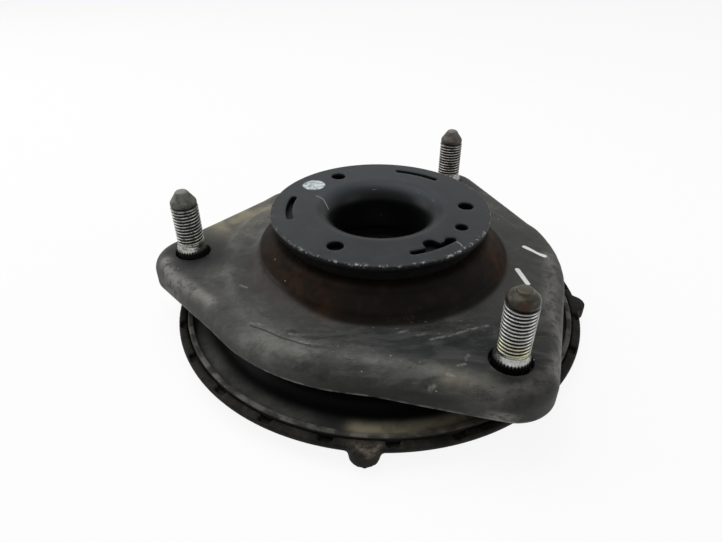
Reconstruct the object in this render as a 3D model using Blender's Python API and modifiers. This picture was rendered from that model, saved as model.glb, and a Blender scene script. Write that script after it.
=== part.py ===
"""Strut top mount with its bearing, spring seat and spring pad. Metres, +Z up.

The origin lies on the bearing's axis, level with the flat pads round the three fixing studs.
From top to bottom: the stop disc and its rolled neck, the rubber bush in the pressed dome, the
upper and lower plates with the studs, the ball bearing, the spring seat and the rubber pad.
"""

import math

import bmesh
import bpy
from mathutils import Matrix, Vector

# Clearances
fit_gap = 0.0003
groove_gap = 0.0005
seal_gap = 0.0003

# Fixing studs
stud_offset = 0.0022
stud_angles = (60.0, 180.0, 300.0)
thread_radius = 0.00495
stud_length = 0.0255
stud_tip_radius = 0.0025
stud_tip_edge = 0.0003
stud_waist_radius = 0.0031
stud_waist_drop = 0.0023
stud_flare_radius = 0.0047
stud_flare_drop = 0.0044
stud_flare_side = 0.0009
stud_groove_depth = 0.00075
stud_groove_width = 0.0005
stud_collar_radius = 0.00565
stud_collar_height = 0.0032
stud_head_radius = 0.0080
stud_head_height = 0.0030

# Upper plate: three lobes round the studs, joined by tangents to a circle between them
upper_sheet = 0.0030
stud_hole_radius = 0.0065
lobe_radius = 0.0148
side_flat = 0.0039
shoulder_radius = 0.0056
skirt_depth = 0.0070
nose_drop = 0.0038
nose_half_angle = 6.0
nose_ramp = 28.0
centre_rise = 0.0010
centre_flat = 0.0075
rise_width = 0.0023
rise_half_angle = 20.0
rise_ramp = 8.0
dome_height = 0.0105
dome_rim_width = 0.0056
dome_shoulder = 0.0030
dome_wall_run = 0.0068
dome_fillet = 0.0051
dome_wall_lean = 20.0

# Lower plate and its collar
lower_sheet = 0.0025
collar_bend = 0.0031
collar_depth = 0.0107

# Stop disc with its rolled neck
disc_flat_width = 0.0152
disc_sheet = 0.0025
neck_radius = 0.0174
neck_roll = 0.0077
neck_depth = 0.0185
disc_hole_inset = 0.0067
disc_hole_radius = 0.0029
small_hole_radius = 0.0023
small_hole_angle = -29.9
slot_inset = 0.0084
slot_width = 0.0024
slot_half_angle = 14.0
joined_hole_radius = 0.00275
joined_hole_inset = 0.0059

# Core cup inside the rubber
core_sheet = 0.0022
core_rim_rise = 0.0004
core_floor = 0.0030
core_floor_top = -0.0060
core_corner = 0.0010
rod_hole_radius = 0.0062

# Rubber bush
bush_wall = 0.0103
bush_stop_height = 0.0049
bush_stop_inset = 0.0023
bush_stop_edge = 0.0011
bush_dish_width = 0.0035
bush_dish_depth = 0.0014
bush_body_top_inset = 0.0012
bush_body_inset = 0.0034
bush_body_taper = 0.0052
bush_bottom = -0.0095
bush_foot_width = 0.0020
bush_groove_slope = 0.0024
bush_groove_depth = 0.0032
bush_core_fillet = 0.0020

# Ball bearing
ball_count = 18
ball_radius = 0.00275
race_width = 0.0080
race_thickness = 0.0030
race_floor = 0.0013
cage_width = 0.0072
cage_height = 0.0021
cage_pocket_gap = 0.0004
case_top_wall = 0.0015
case_skirt_wall = 0.0015
case_shoulder_height = 0.0034
case_floor_gap = 0.0007
case_chamfer = 0.0008
inner_seal_width = 0.0024
outer_seal_width = 0.0019
seal_lip_width = 0.0004
seal_lip_height = 0.0010
seal_lip_slope = 0.0012
seal_foot_height = 0.0012

# Spring seat, a pressed dish
seat_sheet = 0.0020
seat_neck_inset = 0.0027
seat_neck_bend = 0.0030
seat_neck_depth = 0.0085
seat_shelf_margin = 0.0080
channel_slope = 0.0045
channel_width = 0.0106
channel_drop = 0.0032
seat_rim_height = 0.0020
seat_rim_bend = 0.0010

# Spring pad, a rubber ring that grips the rim of the seat
pad_wall = 0.0026
pad_lip_drop = 0.0006
pad_lip_edge = 0.0005
pad_side_height = 0.0020
pad_thickness = 0.0040
pad_inner_reach = 0.0025
pad_inner_chamfer = 0.0014
pad_foot_inset = 0.0050
pad_foot_round = 0.0017
pocket_count = 24
pocket_first_angle = 0.8
pocket_width = 0.0037
pocket_depth = 0.0023
pocket_wall = 0.0008
boss_count = 4
boss_first_angle = -96.7
boss_radius = 0.0047
boss_reach = 0.0032
boss_height = 0.0044
boss_drop = 0.0002

# How far a cutter reaches past what it cuts
cutter_margin = 0.0030

# Facets round a full turn, and along the parts of the plates' outline
turn_steps = 36
inner_steps = 28
stud_steps = 12
hole_steps = 16
lobe_steps = 5
side_steps = 3
middle_steps = 4

# Radii that follow, from the neck outwards
roll_radius = neck_radius + neck_roll
disc_radius = roll_radius + disc_flat_width
disc_hole_circle = roll_radius + disc_hole_inset
slot_circle = roll_radius + slot_inset
joined_hole_circle = roll_radius + joined_hole_inset
core_inner_radius = neck_radius + disc_sheet + fit_gap
core_outer_radius = core_inner_radius + core_sheet
bush_inner_radius = core_outer_radius + fit_gap
bush_stop_radius = disc_radius - bush_stop_inset
dome_hole_radius = bush_inner_radius + bush_wall
dome_top_radius = dome_hole_radius + dome_rim_width
dome_base_radius = dome_top_radius + dome_wall_run
bush_body_top_radius = dome_top_radius - bush_body_top_inset
bush_body_radius = dome_base_radius - bush_body_inset
centre_radius = dome_base_radius + dome_fillet + centre_flat
middle_radius = centre_radius + rise_width + side_flat + shoulder_radius
stud_circle_radius = middle_radius + stud_offset
collar_inner_radius = dome_hole_radius - fit_gap
case_bore_radius = collar_inner_radius + lower_sheet + fit_gap
inner_lip_radius = case_bore_radius + case_skirt_wall + seal_gap
race_inner_radius = inner_lip_radius + inner_seal_width + fit_gap
race_outer_radius = race_inner_radius + race_width
ball_circle = (race_inner_radius + race_outer_radius) / 2
outer_lip_radius = race_outer_radius + fit_gap + outer_seal_width
case_outer_radius = outer_lip_radius + seal_gap + case_skirt_wall
seat_neck_radius = collar_inner_radius - seat_neck_inset
seat_shelf_radius = case_outer_radius + seat_shelf_margin
channel_inner_radius = seat_shelf_radius + channel_slope
seat_rim_radius = channel_inner_radius + channel_width
pad_radius = seat_rim_radius + fit_gap + pad_wall
pad_inner_radius = channel_inner_radius - pad_inner_reach
pad_foot_radius = pad_radius - pad_foot_inset

# Heights that follow, from the disc downwards
flange_top = dome_height + fit_gap
disc_bottom = flange_top + bush_stop_height + fit_gap
disc_top = disc_bottom + disc_sheet
core_top = disc_top - neck_roll + core_rim_rise
lower_plate_top = -upper_sheet - fit_gap
lower_plate_bottom = lower_plate_top - lower_sheet
case_top = lower_plate_bottom - fit_gap
race_top = case_top - case_top_wall - fit_gap
groove_radius = ball_radius + groove_gap
ball_height = race_top - race_floor - groove_radius
seat_top = 2 * ball_height - race_top - fit_gap
channel_top = seat_top - channel_drop
rim_top = channel_top + seat_rim_height
seat_bottom = channel_top - seat_sheet


def ring_point(radius, degrees, height=0.0):
    angle = math.radians(degrees)
    return Vector((radius * math.cos(angle), radius * math.sin(angle), height))


def arc(centre, radius, first, last, steps):
    """Points (r, z) on an arc of a section, angles in degrees from +X towards +Z."""
    points = []
    for step in range(steps + 1):
        angle = math.radians(first + (last - first) * step / steps)
        points.append((centre[0] + radius * math.cos(angle), centre[1] + radius * math.sin(angle)))
    return points


def clear_scene():
    for old in list(bpy.data.objects):
        bpy.data.objects.remove(old, do_unlink=True)


def collection(name):
    made = bpy.data.collections.new(name)
    bpy.context.scene.collection.children.link(made)
    return made


def material(name, color, roughness, metallic=0.0):
    made = bpy.data.materials.new(name)
    made.use_nodes = True
    shader = made.node_tree.nodes["Principled BSDF"]
    shader.inputs["Base Color"].default_value = (*color, 1.0)
    shader.inputs["Roughness"].default_value = roughness
    shader.inputs["Metallic"].default_value = metallic
    return made


def add_object(name, mesh, finish=None, place=(0.0, 0.0, 0.0)):
    made = bpy.data.objects.new(name, mesh)
    made.location = place
    if finish:
        mesh.materials.clear()
        mesh.materials.append(finish)
        parts.objects.link(made)
    else:
        made.hide_render = True
        made.display_type = "WIRE"
        cutters.objects.link(made)
    return made


def smooth(made, degrees=35.0):
    made.data.shade_smooth()
    made.data.set_sharp_from_angle(angle=math.radians(degrees))


def turned(name, section, finish=None, steps=turn_steps, closed=True, place=(0.0, 0.0, 0.0)):
    """Turns a section of (r, z) points, which runs down its outer side, about the Z axis."""
    mesh = bpy.data.meshes.new(name)
    edges = [(i, i + 1) for i in range(len(section) - 1)]
    if closed:
        edges.append((len(section) - 1, 0))
    mesh.from_pydata([(r, 0.0, z) for r, z in section], edges, [])
    made = add_object(name, mesh, finish, place)
    screw = made.modifiers.new("Turn", "SCREW")
    screw.axis = "Z"
    screw.steps = steps
    screw.render_steps = steps
    screw.use_merge_vertices = True
    screw.merge_threshold = 0.00001
    return made


def solidify(made, thickness):
    shell = made.modifiers.new("Sheet", "SOLIDIFY")
    shell.thickness = thickness
    shell.offset = -1.0
    shell.use_even_offset = True
    shell.use_quality_normals = True


def boolean(made, other, operation="DIFFERENCE"):
    cut = made.modifiers.new(other.name, "BOOLEAN")
    cut.operation = operation
    cut.solver = "EXACT"
    cut.object = other


def pegs(name, places, radius, low, high, steps=hole_steps):
    """Upright cylinders in one helper mesh, one at each of the places."""
    shape = bmesh.new()
    for place in places:
        middle = Matrix.Translation((place[0], place[1], (low + high) / 2))
        bmesh.ops.create_cone(
            shape, cap_ends=True, segments=steps, radius1=radius, radius2=radius,
            depth=high - low, matrix=middle,
        )
    mesh = bpy.data.meshes.new(name)
    shape.to_mesh(mesh)
    shape.free()
    return add_object(name, mesh)


def prism(name, outlines, low, high):
    """Upright prisms in one helper mesh, one for each flat outline."""
    shape = bmesh.new()
    for outline in outlines:
        face = shape.faces.new([shape.verts.new((x, y, low)) for x, y in outline])
        raised = bmesh.ops.extrude_face_region(shape, geom=[face])
        moved = [v for v in raised["geom"] if isinstance(v, bmesh.types.BMVert)]
        bmesh.ops.translate(shape, verts=moved, vec=(0.0, 0.0, high - low))
    bmesh.ops.recalc_face_normals(shape, faces=shape.faces)
    mesh = bpy.data.meshes.new(name)
    shape.to_mesh(mesh)
    shape.free()
    return add_object(name, mesh)


def plate_outline(inset):
    """The rounded triangle, moved inwards by inset, with the same stations for every inset."""
    tangent = math.degrees(math.acos((middle_radius - lobe_radius) / stud_circle_radius))
    points = []
    for stud_angle in stud_angles:
        centre = ring_point(stud_circle_radius, stud_angle)
        lobe = []
        for step in range(lobe_steps + 1):
            turn = stud_angle - tangent + 2 * tangent * step / lobe_steps
            lobe.append(centre + ring_point(lobe_radius - inset, turn))
        span = 120.0 - 2 * tangent
        middle = []
        for step in range(middle_steps + 1):
            turn = stud_angle + tangent + span * step / middle_steps
            middle.append(ring_point(middle_radius - inset, turn))
        next_centre = ring_point(stud_circle_radius, stud_angle + 120.0)
        next_start = next_centre + ring_point(lobe_radius - inset, stud_angle + 120.0 - tangent)
        shares = [step / side_steps for step in range(1, side_steps)]
        points += lobe
        points += [lobe[-1].lerp(middle[0], share) for share in shares]
        points += middle
        points += [middle[-1].lerp(next_start, share) for share in shares]
    return points


def station_circle(radius, height):
    """A circle with its points in line with the stations of the plate's outline."""
    return [
        Vector((p.x, p.y, 0.0)).normalized() * radius + Vector((0.0, 0.0, height))
        for p in plate_outline(shoulder_radius)
    ]


def middle_share(point):
    """1 in the middle of a side, 0 towards the lobes, with a short ramp between."""
    turn = math.degrees(math.atan2(point.y, point.x)) % 120.0
    off_middle = min(turn, 120.0 - turn)
    return min(max((rise_half_angle - off_middle) / rise_ramp, 0.0), 1.0)


def nose_share(point):
    """1 at the nose of a lobe, where the skirt is deepest, 0 in the middle of a side."""
    turn = math.degrees(math.atan2(point.y, point.x)) % 120.0
    off_nose = abs(turn - 60.0)
    return min(max((nose_half_angle + nose_ramp - off_nose) / nose_ramp, 0.0), 1.0)


def lofted(name, rings, finish):
    """An open surface through rings of equal length, from the inner ring to the outer one."""
    count = len(rings[0])
    mesh = bpy.data.meshes.new(name)
    faces = []
    for level in range(len(rings) - 1):
        for step in range(count):
            ahead = (step + 1) % count
            faces.append((
                level * count + step,
                (level + 1) * count + step,
                (level + 1) * count + ahead,
                level * count + ahead,
            ))
    mesh.from_pydata([p for ring in rings for p in ring], [], faces)
    return add_object(name, mesh, finish)


def stud_places():
    return [ring_point(stud_circle_radius, angle) for angle in stud_angles]


def make_upper_plate():
    """The pressed steel plate: dome, raised centre, flat stud pads, rounded shoulder and skirt."""
    base = centre_rise
    shoulder_centre = (dome_top_radius, dome_height - dome_shoulder)
    fillet_centre = (dome_base_radius + dome_fillet, base + dome_fillet)
    section = [(dome_hole_radius, dome_height)]
    section += arc(shoulder_centre, dome_shoulder, 90.0, dome_wall_lean, 2)
    section += arc(fillet_centre, dome_fillet, 180.0 + dome_wall_lean, 270.0, 2)
    section.append((centre_radius, base))
    rings = [station_circle(radius, height) for radius, height in section]
    edge = station_circle(centre_radius + rise_width, 0.0)
    rings.append([Vector((p.x, p.y, base * middle_share(p))) for p in edge])
    for turn in (0.0, 45.0, 90.0):
        angle = math.radians(turn)
        inset = shoulder_radius * (1.0 - math.sin(angle))
        drop = shoulder_radius * (1.0 - math.cos(angle))
        fade = math.cos(angle)
        rings.append([
            Vector((p.x, p.y, base * middle_share(p) * fade - drop))
            for p in plate_outline(inset)
        ])
    rings.append([
        Vector((p.x, p.y, -skirt_depth - nose_drop * nose_share(p)))
        for p in plate_outline(0.0)
    ])
    plate = lofted("upper_plate", rings, black_paint)
    solidify(plate, upper_sheet)
    hole_span = (-upper_sheet - cutter_margin, cutter_margin)
    holes = pegs("stud_clearance_holes", stud_places(), stud_hole_radius, *hole_span)
    boolean(plate, holes)
    smooth(plate)


def make_lower_plate():
    """The flat plate under the first, which holds the studs; its collar centres the bearing."""
    bend_centre = (collar_inner_radius + collar_bend, lower_plate_top - collar_bend)
    rings = [station_circle(collar_inner_radius, lower_plate_top - collar_depth)]
    for radius, height in arc(bend_centre, collar_bend, 180.0, 90.0, 2):
        rings.append(station_circle(radius, height))
    rim = plate_outline(shoulder_radius + fit_gap)
    rings.append([Vector((p.x, p.y, lower_plate_top)) for p in rim])
    plate = lofted("lower_plate", rings, black_paint)
    solidify(plate, lower_sheet)
    hole_span = (lower_plate_bottom - cutter_margin, lower_plate_top + cutter_margin)
    holes = pegs("stud_press_holes", stud_places(), stud_collar_radius + fit_gap, *hole_span)
    boolean(plate, holes)
    smooth(plate)


def make_studs():
    """Three headed studs: head below the plate, knurled collar, thread, groove and coned tip."""
    head_top = lower_plate_bottom - fit_gap
    flare_foot = stud_length - stud_flare_drop - stud_flare_side
    groove_top = flare_foot - stud_groove_depth
    relief_radius = thread_radius - stud_groove_depth
    section = [
        (0.0, stud_length),
        (stud_tip_radius - stud_tip_edge, stud_length),
        (stud_tip_radius, stud_length - stud_tip_edge),
        (stud_waist_radius, stud_length - stud_waist_drop),
        (stud_flare_radius, stud_length - stud_flare_drop),
        (stud_flare_radius, flare_foot),
        (relief_radius, groove_top),
        (relief_radius, groove_top - stud_groove_width),
        (thread_radius, groove_top - stud_groove_width - stud_groove_depth),
        (thread_radius, stud_collar_height),
        (stud_collar_radius, stud_collar_height - (stud_collar_radius - thread_radius)),
        (stud_collar_radius, head_top),
        (stud_head_radius, head_top),
        (stud_head_radius, head_top - stud_head_height),
        (0.0, head_top - stud_head_height),
    ]
    for number, place in enumerate(stud_places(), start=1):
        stud = turned(f"stud_{number}", section, zinc, stud_steps, closed=False, place=place)
        smooth(stud)


def slot_outline(angle):
    """A slot bent round the axis, with round ends."""
    half = slot_width / 2
    points = []
    for step in range(5):
        turn = angle - slot_half_angle + 2 * slot_half_angle * step / 4
        points.append(ring_point(slot_circle + half, turn))
    far = angle + slot_half_angle
    points.append(ring_point(slot_circle, far) + ring_point(half, far + 90.0))
    for step in range(5):
        turn = far - 2 * slot_half_angle * step / 4
        points.append(ring_point(slot_circle - half, turn))
    near = angle - slot_half_angle
    points.append(ring_point(slot_circle, near) + ring_point(half, near - 90.0))
    return [(p.x, p.y) for p in points]


def make_stop_disc():
    """The flat disc on top, pressed in one with a neck that rolls down into the core."""
    roll_centre = (roll_radius, disc_top - neck_roll)
    edge = disc_sheet * 0.2
    section = [(neck_radius, disc_top - neck_depth)]
    section += arc(roll_centre, neck_roll, 180.0, 90.0, 4)
    section += [
        (disc_radius - edge, disc_top),
        (disc_radius, disc_top - edge),
        (disc_radius, disc_bottom + edge),
        (disc_radius - edge, disc_bottom),
    ]
    section += arc(roll_centre, neck_roll - disc_sheet, 90.0, 180.0, 3)
    section.append((neck_radius + disc_sheet, disc_top - neck_depth))
    disc = turned("stop_disc", section, satin_black)
    span = (disc_bottom - cutter_margin, disc_top + cutter_margin)
    round_holes = [ring_point(disc_hole_circle, angle) for angle in (0.0, 120.0, 240.0)]
    boolean(disc, pegs("disc_round_holes", round_holes, disc_hole_radius, *span, steps=10))
    small = [ring_point(disc_hole_circle, small_hole_angle)]
    boolean(disc, pegs("disc_small_hole", small, small_hole_radius, *span, steps=10))
    slots = [slot_outline(angle) for angle in (60.0, 180.0, 300.0)]
    boolean(disc, prism("disc_slots", slots, *span))
    joined = [ring_point(joined_hole_circle, 300.0)]
    boolean(disc, pegs("disc_joined_hole", joined, joined_hole_radius, *span, steps=10))
    smooth(disc)


def make_core_cup():
    """The drawn cup bonded inside the rubber; the rod's end and nut sit on its floor."""
    bottom = core_floor_top - core_floor
    section = [
        (core_inner_radius, core_top),
        (core_outer_radius, core_top),
        (core_outer_radius, bottom + core_corner),
        (core_outer_radius - core_corner, bottom),
        (rod_hole_radius, bottom),
        (rod_hole_radius, core_floor_top),
        (core_inner_radius - core_corner, core_floor_top),
        (core_inner_radius, core_floor_top + core_corner),
    ]
    smooth(turned("core_cup", section, black_paint, inner_steps))


def make_rubber_bush():
    """One moulding: the stop cushion above the dome's flange, and the body that fills the dome."""
    core = bush_inner_radius
    top = disc_bottom - fit_gap
    bend_centre = (collar_inner_radius + collar_bend, lower_plate_top - collar_bend)
    flange_bottom = dome_height - upper_sheet - fit_gap
    shelf = lower_plate_top + fit_gap
    side = collar_inner_radius - fit_gap
    section = [
        (core, top - bush_dish_depth),
        (core + bush_dish_width, top),
        (bush_stop_radius - bush_stop_edge, top),
        (bush_stop_radius, top - bush_stop_edge),
        (bush_stop_radius, flange_top),
        (dome_hole_radius - fit_gap, flange_top),
        (dome_hole_radius - fit_gap, flange_bottom),
        (bush_body_top_radius, flange_bottom),
        (bush_body_radius, flange_bottom - bush_body_taper),
        (bush_body_radius, shelf),
    ]
    section += arc(bend_centre, collar_bend + fit_gap, 90.0, 180.0, 2)
    foot = side - bush_foot_width
    groove = bush_bottom + bush_groove_depth
    section += [
        (side, bush_bottom),
        (foot, bush_bottom),
        (foot - bush_groove_slope, groove),
        (core + bush_core_fillet, groove),
        (core, groove - bush_core_fillet),
    ]
    smooth(turned("rubber_bush", section, rubber, inner_steps))


def make_bearing_case():
    """The moulded cap that holds the upper race and shields both sides of the balls."""
    bottom = seat_top + case_floor_gap
    race_outer = race_outer_radius + fit_gap
    race_inner = race_inner_radius - fit_gap
    roof = case_top - case_top_wall
    shoulder = roof - case_shoulder_height
    section = [
        (case_bore_radius, case_top - case_chamfer),
        (case_bore_radius + case_chamfer, case_top),
        (case_outer_radius - case_chamfer, case_top),
        (case_outer_radius, case_top - case_chamfer),
        (case_outer_radius, bottom),
        (case_outer_radius - case_skirt_wall, bottom),
        (case_outer_radius - case_skirt_wall, shoulder),
        (race_outer, shoulder),
        (race_outer, roof),
        (race_inner, roof),
        (race_inner, shoulder),
        (case_bore_radius + case_skirt_wall, shoulder),
        (case_bore_radius + case_skirt_wall, bottom),
        (case_bore_radius, bottom),
    ]
    smooth(turned("bearing_case", section, plastic, inner_steps))


def race_section(back, sign):
    """A race with a ball groove; sign is 1 for the upper race and -1 for the lower one."""
    land = back - sign * race_thickness
    rise = math.degrees(math.asin(abs(land - ball_height) / groove_radius))
    groove = arc((ball_circle, ball_height), groove_radius, sign * rise, sign * (180.0 - rise), 3)
    loop = [(race_inner_radius, back), (race_outer_radius, back), (race_outer_radius, land)]
    loop += groove + [(race_inner_radius, land)]
    return loop if sign > 0 else loop[::-1]


def make_races():
    """Two hardened washers with a groove each for the balls."""
    smooth(turned("upper_race", race_section(race_top, 1), steel, inner_steps))
    lower_back = 2 * ball_height - race_top
    smooth(turned("lower_race", race_section(lower_back, -1), steel, inner_steps))


def make_cage_and_balls():
    """The balls, and the flat cage that keeps them apart."""
    outer = ball_circle + cage_width / 2
    inner = ball_circle - cage_width / 2
    top = ball_height + cage_height / 2
    bottom = ball_height - cage_height / 2
    section = [(inner, top), (outer, top), (outer, bottom), (inner, bottom)]
    cage = turned("ball_cage", section, cage_plastic, ball_count)
    turns = [360.0 * i / ball_count for i in range(ball_count)]
    places = [ring_point(ball_circle, turn, ball_height) for turn in turns]
    pocket = ball_radius + cage_pocket_gap
    span = (bottom - cutter_margin, top + cutter_margin)
    boolean(cage, pegs("cage_pockets", places, pocket, *span, steps=8))
    smooth(cage)
    shape = bmesh.new()
    bmesh.ops.create_uvsphere(shape, u_segments=8, v_segments=5, radius=ball_radius)
    mesh = bpy.data.meshes.new("ball")
    shape.to_mesh(mesh)
    shape.free()
    for number, place in enumerate(places, start=1):
        ball = add_object(f"ball_{number:02d}", mesh, steel, place)
        ball.data.shade_smooth()


def make_seals():
    """Two lipped rings that sit on the spring seat and close the bearing from both sides."""
    bottom = seat_top + fit_gap
    top = case_top - case_top_wall - case_shoulder_height - seal_gap
    lip_foot = top - seal_lip_height
    waist_top = lip_foot - seal_lip_slope
    waist_foot = bottom + seal_foot_height
    race_outer = race_outer_radius + fit_gap
    waist = (race_outer + outer_lip_radius) / 2
    outer = [
        (race_outer, top),
        (outer_lip_radius - seal_lip_width, top),
        (outer_lip_radius, lip_foot),
        (waist, waist_top),
        (waist, waist_foot),
        (outer_lip_radius, bottom),
        (race_outer, bottom),
    ]
    race_inner = race_inner_radius - fit_gap
    waist = (race_inner + inner_lip_radius) / 2
    inner = [
        (inner_lip_radius + seal_lip_width, top),
        (race_inner, top),
        (race_inner, bottom),
        (inner_lip_radius, bottom),
        (waist, waist_foot),
        (waist, waist_top),
        (inner_lip_radius, lip_foot),
    ]
    smooth(turned("outer_seal", outer, rubber, inner_steps))
    smooth(turned("inner_seal", inner, rubber, inner_steps))


def seat_surface():
    """The upper surface of the pressed seat, from the foot of its neck out to its rim."""
    inner_rim = seat_rim_radius - seat_sheet
    neck_centre = (seat_neck_radius + seat_neck_bend, seat_top - seat_neck_bend)
    rim_centre = (inner_rim - seat_rim_bend, channel_top + seat_rim_bend)
    points = [(seat_neck_radius, seat_top - seat_neck_depth)]
    points += arc(neck_centre, seat_neck_bend, 180.0, 90.0, 2)
    points += [(seat_shelf_radius, seat_top), (channel_inner_radius, channel_top)]
    points += arc(rim_centre, seat_rim_bend, 270.0, 360.0, 2)
    points.append((inner_rim, rim_top))
    return points


def make_spring_seat():
    """The pressed dish that turns with the spring."""
    seat = turned("spring_seat", seat_surface(), black_paint, turn_steps, closed=False)
    solidify(seat, seat_sheet)
    smooth(seat)


def seat_hollow(clearance):
    """The space that the rim and the channel of the seat take, as a section to cut away."""
    bend = seat_rim_bend + seat_sheet + clearance
    centre = (seat_rim_radius - seat_sheet - seat_rim_bend, channel_top + seat_rim_bend)
    floor = seat_bottom - clearance
    inside = pad_inner_radius - cutter_margin
    section = [
        (inside, rim_top + cutter_margin),
        (seat_rim_radius + clearance, rim_top + cutter_margin),
    ]
    section += arc(centre, bend, 0.0, -90.0, 3)
    section += [
        (pad_inner_radius + pad_inner_chamfer, floor),
        (inside, floor - pad_inner_chamfer - cutter_margin),
    ]
    return section


def make_spring_pad():
    """The rubber ring under the seat: its lip wraps the rim, with pockets and four bosses."""
    floor = seat_bottom - fit_gap
    foot = floor - pad_thickness
    lip_top = rim_top - pad_lip_drop
    side_foot = lip_top - pad_side_height
    section = [
        (pad_inner_radius, lip_top),
        (pad_radius - pad_lip_edge, lip_top),
        (pad_radius, lip_top - pad_lip_edge),
        (pad_radius, side_foot),
        (pad_foot_radius + pad_foot_round, foot + pad_foot_round),
        (pad_foot_radius, foot),
        (pad_inner_radius + pad_inner_chamfer, foot),
        (pad_inner_radius, foot + pad_inner_chamfer),
    ]
    pad = turned("spring_pad", section, rubber)
    boss_centre = pad_radius + boss_reach - boss_radius
    turns = [boss_first_angle + 360.0 * i / boss_count for i in range(boss_count)]
    places = [ring_point(boss_centre, turn) for turn in turns]
    boss_top = lip_top - boss_drop
    bosses = pegs("pad_bosses", places, boss_radius, boss_top - boss_height, boss_top)
    boolean(pad, bosses, "UNION")
    boolean(pad, turned("seat_clearance", seat_hollow(fit_gap)))
    inner = seat_rim_radius - cutter_margin
    outer = pad_radius - pocket_wall
    half = pocket_width / 2
    outlines = []
    for i in range(pocket_count):
        turn = Matrix.Rotation(math.radians(pocket_first_angle + 360.0 * i / pocket_count), 2)
        corners = [(inner, -half), (outer, -half), (outer, half), (inner, half)]
        outlines.append([tuple(turn @ Vector(corner)) for corner in corners])
    boolean(pad, prism("lip_pockets", outlines, lip_top - pocket_depth, lip_top + cutter_margin))
    smooth(pad)


clear_scene()
parts = collection("strut_bearing")
cutters = collection("cutters")
black_paint = material("black_paint", (0.045, 0.045, 0.043), 0.55)
satin_black = material("satin_black", (0.050, 0.052, 0.054), 0.42)
rubber = material("rubber", (0.018, 0.018, 0.018), 0.75)
plastic = material("plastic", (0.022, 0.022, 0.022), 0.5)
cage_plastic = material("cage_plastic", (0.35, 0.30, 0.20), 0.5)
zinc = material("zinc", (0.55, 0.53, 0.46), 0.35, 1.0)
steel = material("steel", (0.60, 0.60, 0.60), 0.25, 1.0)

make_upper_plate()
make_lower_plate()
make_studs()
make_stop_disc()
make_core_cup()
make_rubber_bush()
make_bearing_case()
make_races()
make_cage_and_balls()
make_seals()
make_spring_seat()
make_spring_pad()
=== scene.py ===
# %% [markdown]
# # A strut top mount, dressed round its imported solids
# This object sits on top of a car's front strut. A pressed plate with three studs bolts to the
# body, a rubber bush in its dome carries the strut's rod, and a ball bearing below lets the spring
# and its seat turn when the wheels are steered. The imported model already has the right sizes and
# the right pieces, so this lesson only gives each piece its finer shape, its coat and its wear.

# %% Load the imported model
import math

import bmesh
import bpy
import numpy as np
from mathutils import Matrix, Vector, kdtree
from mathutils.geometry import delaunay_2d_cdt


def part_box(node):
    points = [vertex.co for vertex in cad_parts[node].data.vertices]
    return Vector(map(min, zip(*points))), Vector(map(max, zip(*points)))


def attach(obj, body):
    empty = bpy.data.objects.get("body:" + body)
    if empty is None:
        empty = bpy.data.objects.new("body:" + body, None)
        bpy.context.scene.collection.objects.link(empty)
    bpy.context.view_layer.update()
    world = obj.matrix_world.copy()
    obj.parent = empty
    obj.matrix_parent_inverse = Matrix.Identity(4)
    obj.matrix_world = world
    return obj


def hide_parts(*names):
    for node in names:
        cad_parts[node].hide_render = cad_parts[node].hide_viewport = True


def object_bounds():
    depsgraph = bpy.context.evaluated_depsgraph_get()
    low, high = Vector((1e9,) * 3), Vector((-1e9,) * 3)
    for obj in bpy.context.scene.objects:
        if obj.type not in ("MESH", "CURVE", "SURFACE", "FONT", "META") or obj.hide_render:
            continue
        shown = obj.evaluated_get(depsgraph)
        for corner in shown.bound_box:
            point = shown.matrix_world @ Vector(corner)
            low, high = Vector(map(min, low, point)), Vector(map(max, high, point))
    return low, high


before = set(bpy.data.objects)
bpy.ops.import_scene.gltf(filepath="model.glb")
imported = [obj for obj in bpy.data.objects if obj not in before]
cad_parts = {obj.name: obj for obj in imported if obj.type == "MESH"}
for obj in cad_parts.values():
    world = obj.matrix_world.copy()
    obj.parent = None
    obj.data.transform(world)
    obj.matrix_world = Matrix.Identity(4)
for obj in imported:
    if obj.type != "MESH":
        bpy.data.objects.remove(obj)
cad_low, cad_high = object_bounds()
print("packed model", [round(high - low, 4) for low, high in zip(cad_low, cad_high)])

# %% [markdown]
# ## Measuring what is there
# Sizes that the solids already hold are measured from them, so that a skin always fits its solid.
# Only shapes that are finer than the solids get sizes of their own, close to where they are used.

# %% Measure a turned solid
def radii(node):
    """Smallest and largest distance of a node's points from the bearing's axis."""
    reach = [point.co.xy.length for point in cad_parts[node].data.vertices]
    return min(reach), max(reach)


def heights(node):
    low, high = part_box(node)
    return low.z, high.z


fit_gap = 0.0003
neck_radius, disc_radius = radii("stop_disc")
neck_foot, disc_top = heights("stop_disc")
dome_hole_radius = radii("upper_plate")[0]
skirt_foot, dome_top = heights("upper_plate")
print("disc", round(disc_radius, 4), "neck", round(neck_radius, 4), "dome top", round(dome_top, 4))

# %% [markdown]
# ## Sections with soft corners
# Pressed and moulded pieces never have knife edges. A section is written as corners, each with its
# own softness, and a small curve is laid through each corner. A bevel modifier could round them
# too, but it gives all corners one width. Long straight runs are divided, so that the surface has
# points enough to carry dents and dirt.

# %% Round the corners of a section
def softened(corners, steps=4):
    """Points (radius, height) through corners (radius, height, softness); the section is closed."""
    points = []
    for i, (radius, height, soft) in enumerate(corners):
        here = Vector((radius, height))
        if not soft:
            points.append(here)
            continue
        before = Vector(corners[i - 1][:2]) - here
        after = Vector(corners[(i + 1) % len(corners)][:2]) - here
        start = here + before.normalized() * min(soft, before.length * 0.48)
        end = here + after.normalized() * min(soft, after.length * 0.48)
        for step in range(steps + 1):
            t = step / steps
            points.append(start * (1 - t) ** 2 + here * 2 * t * (1 - t) + end * t * t)
    return points


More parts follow.
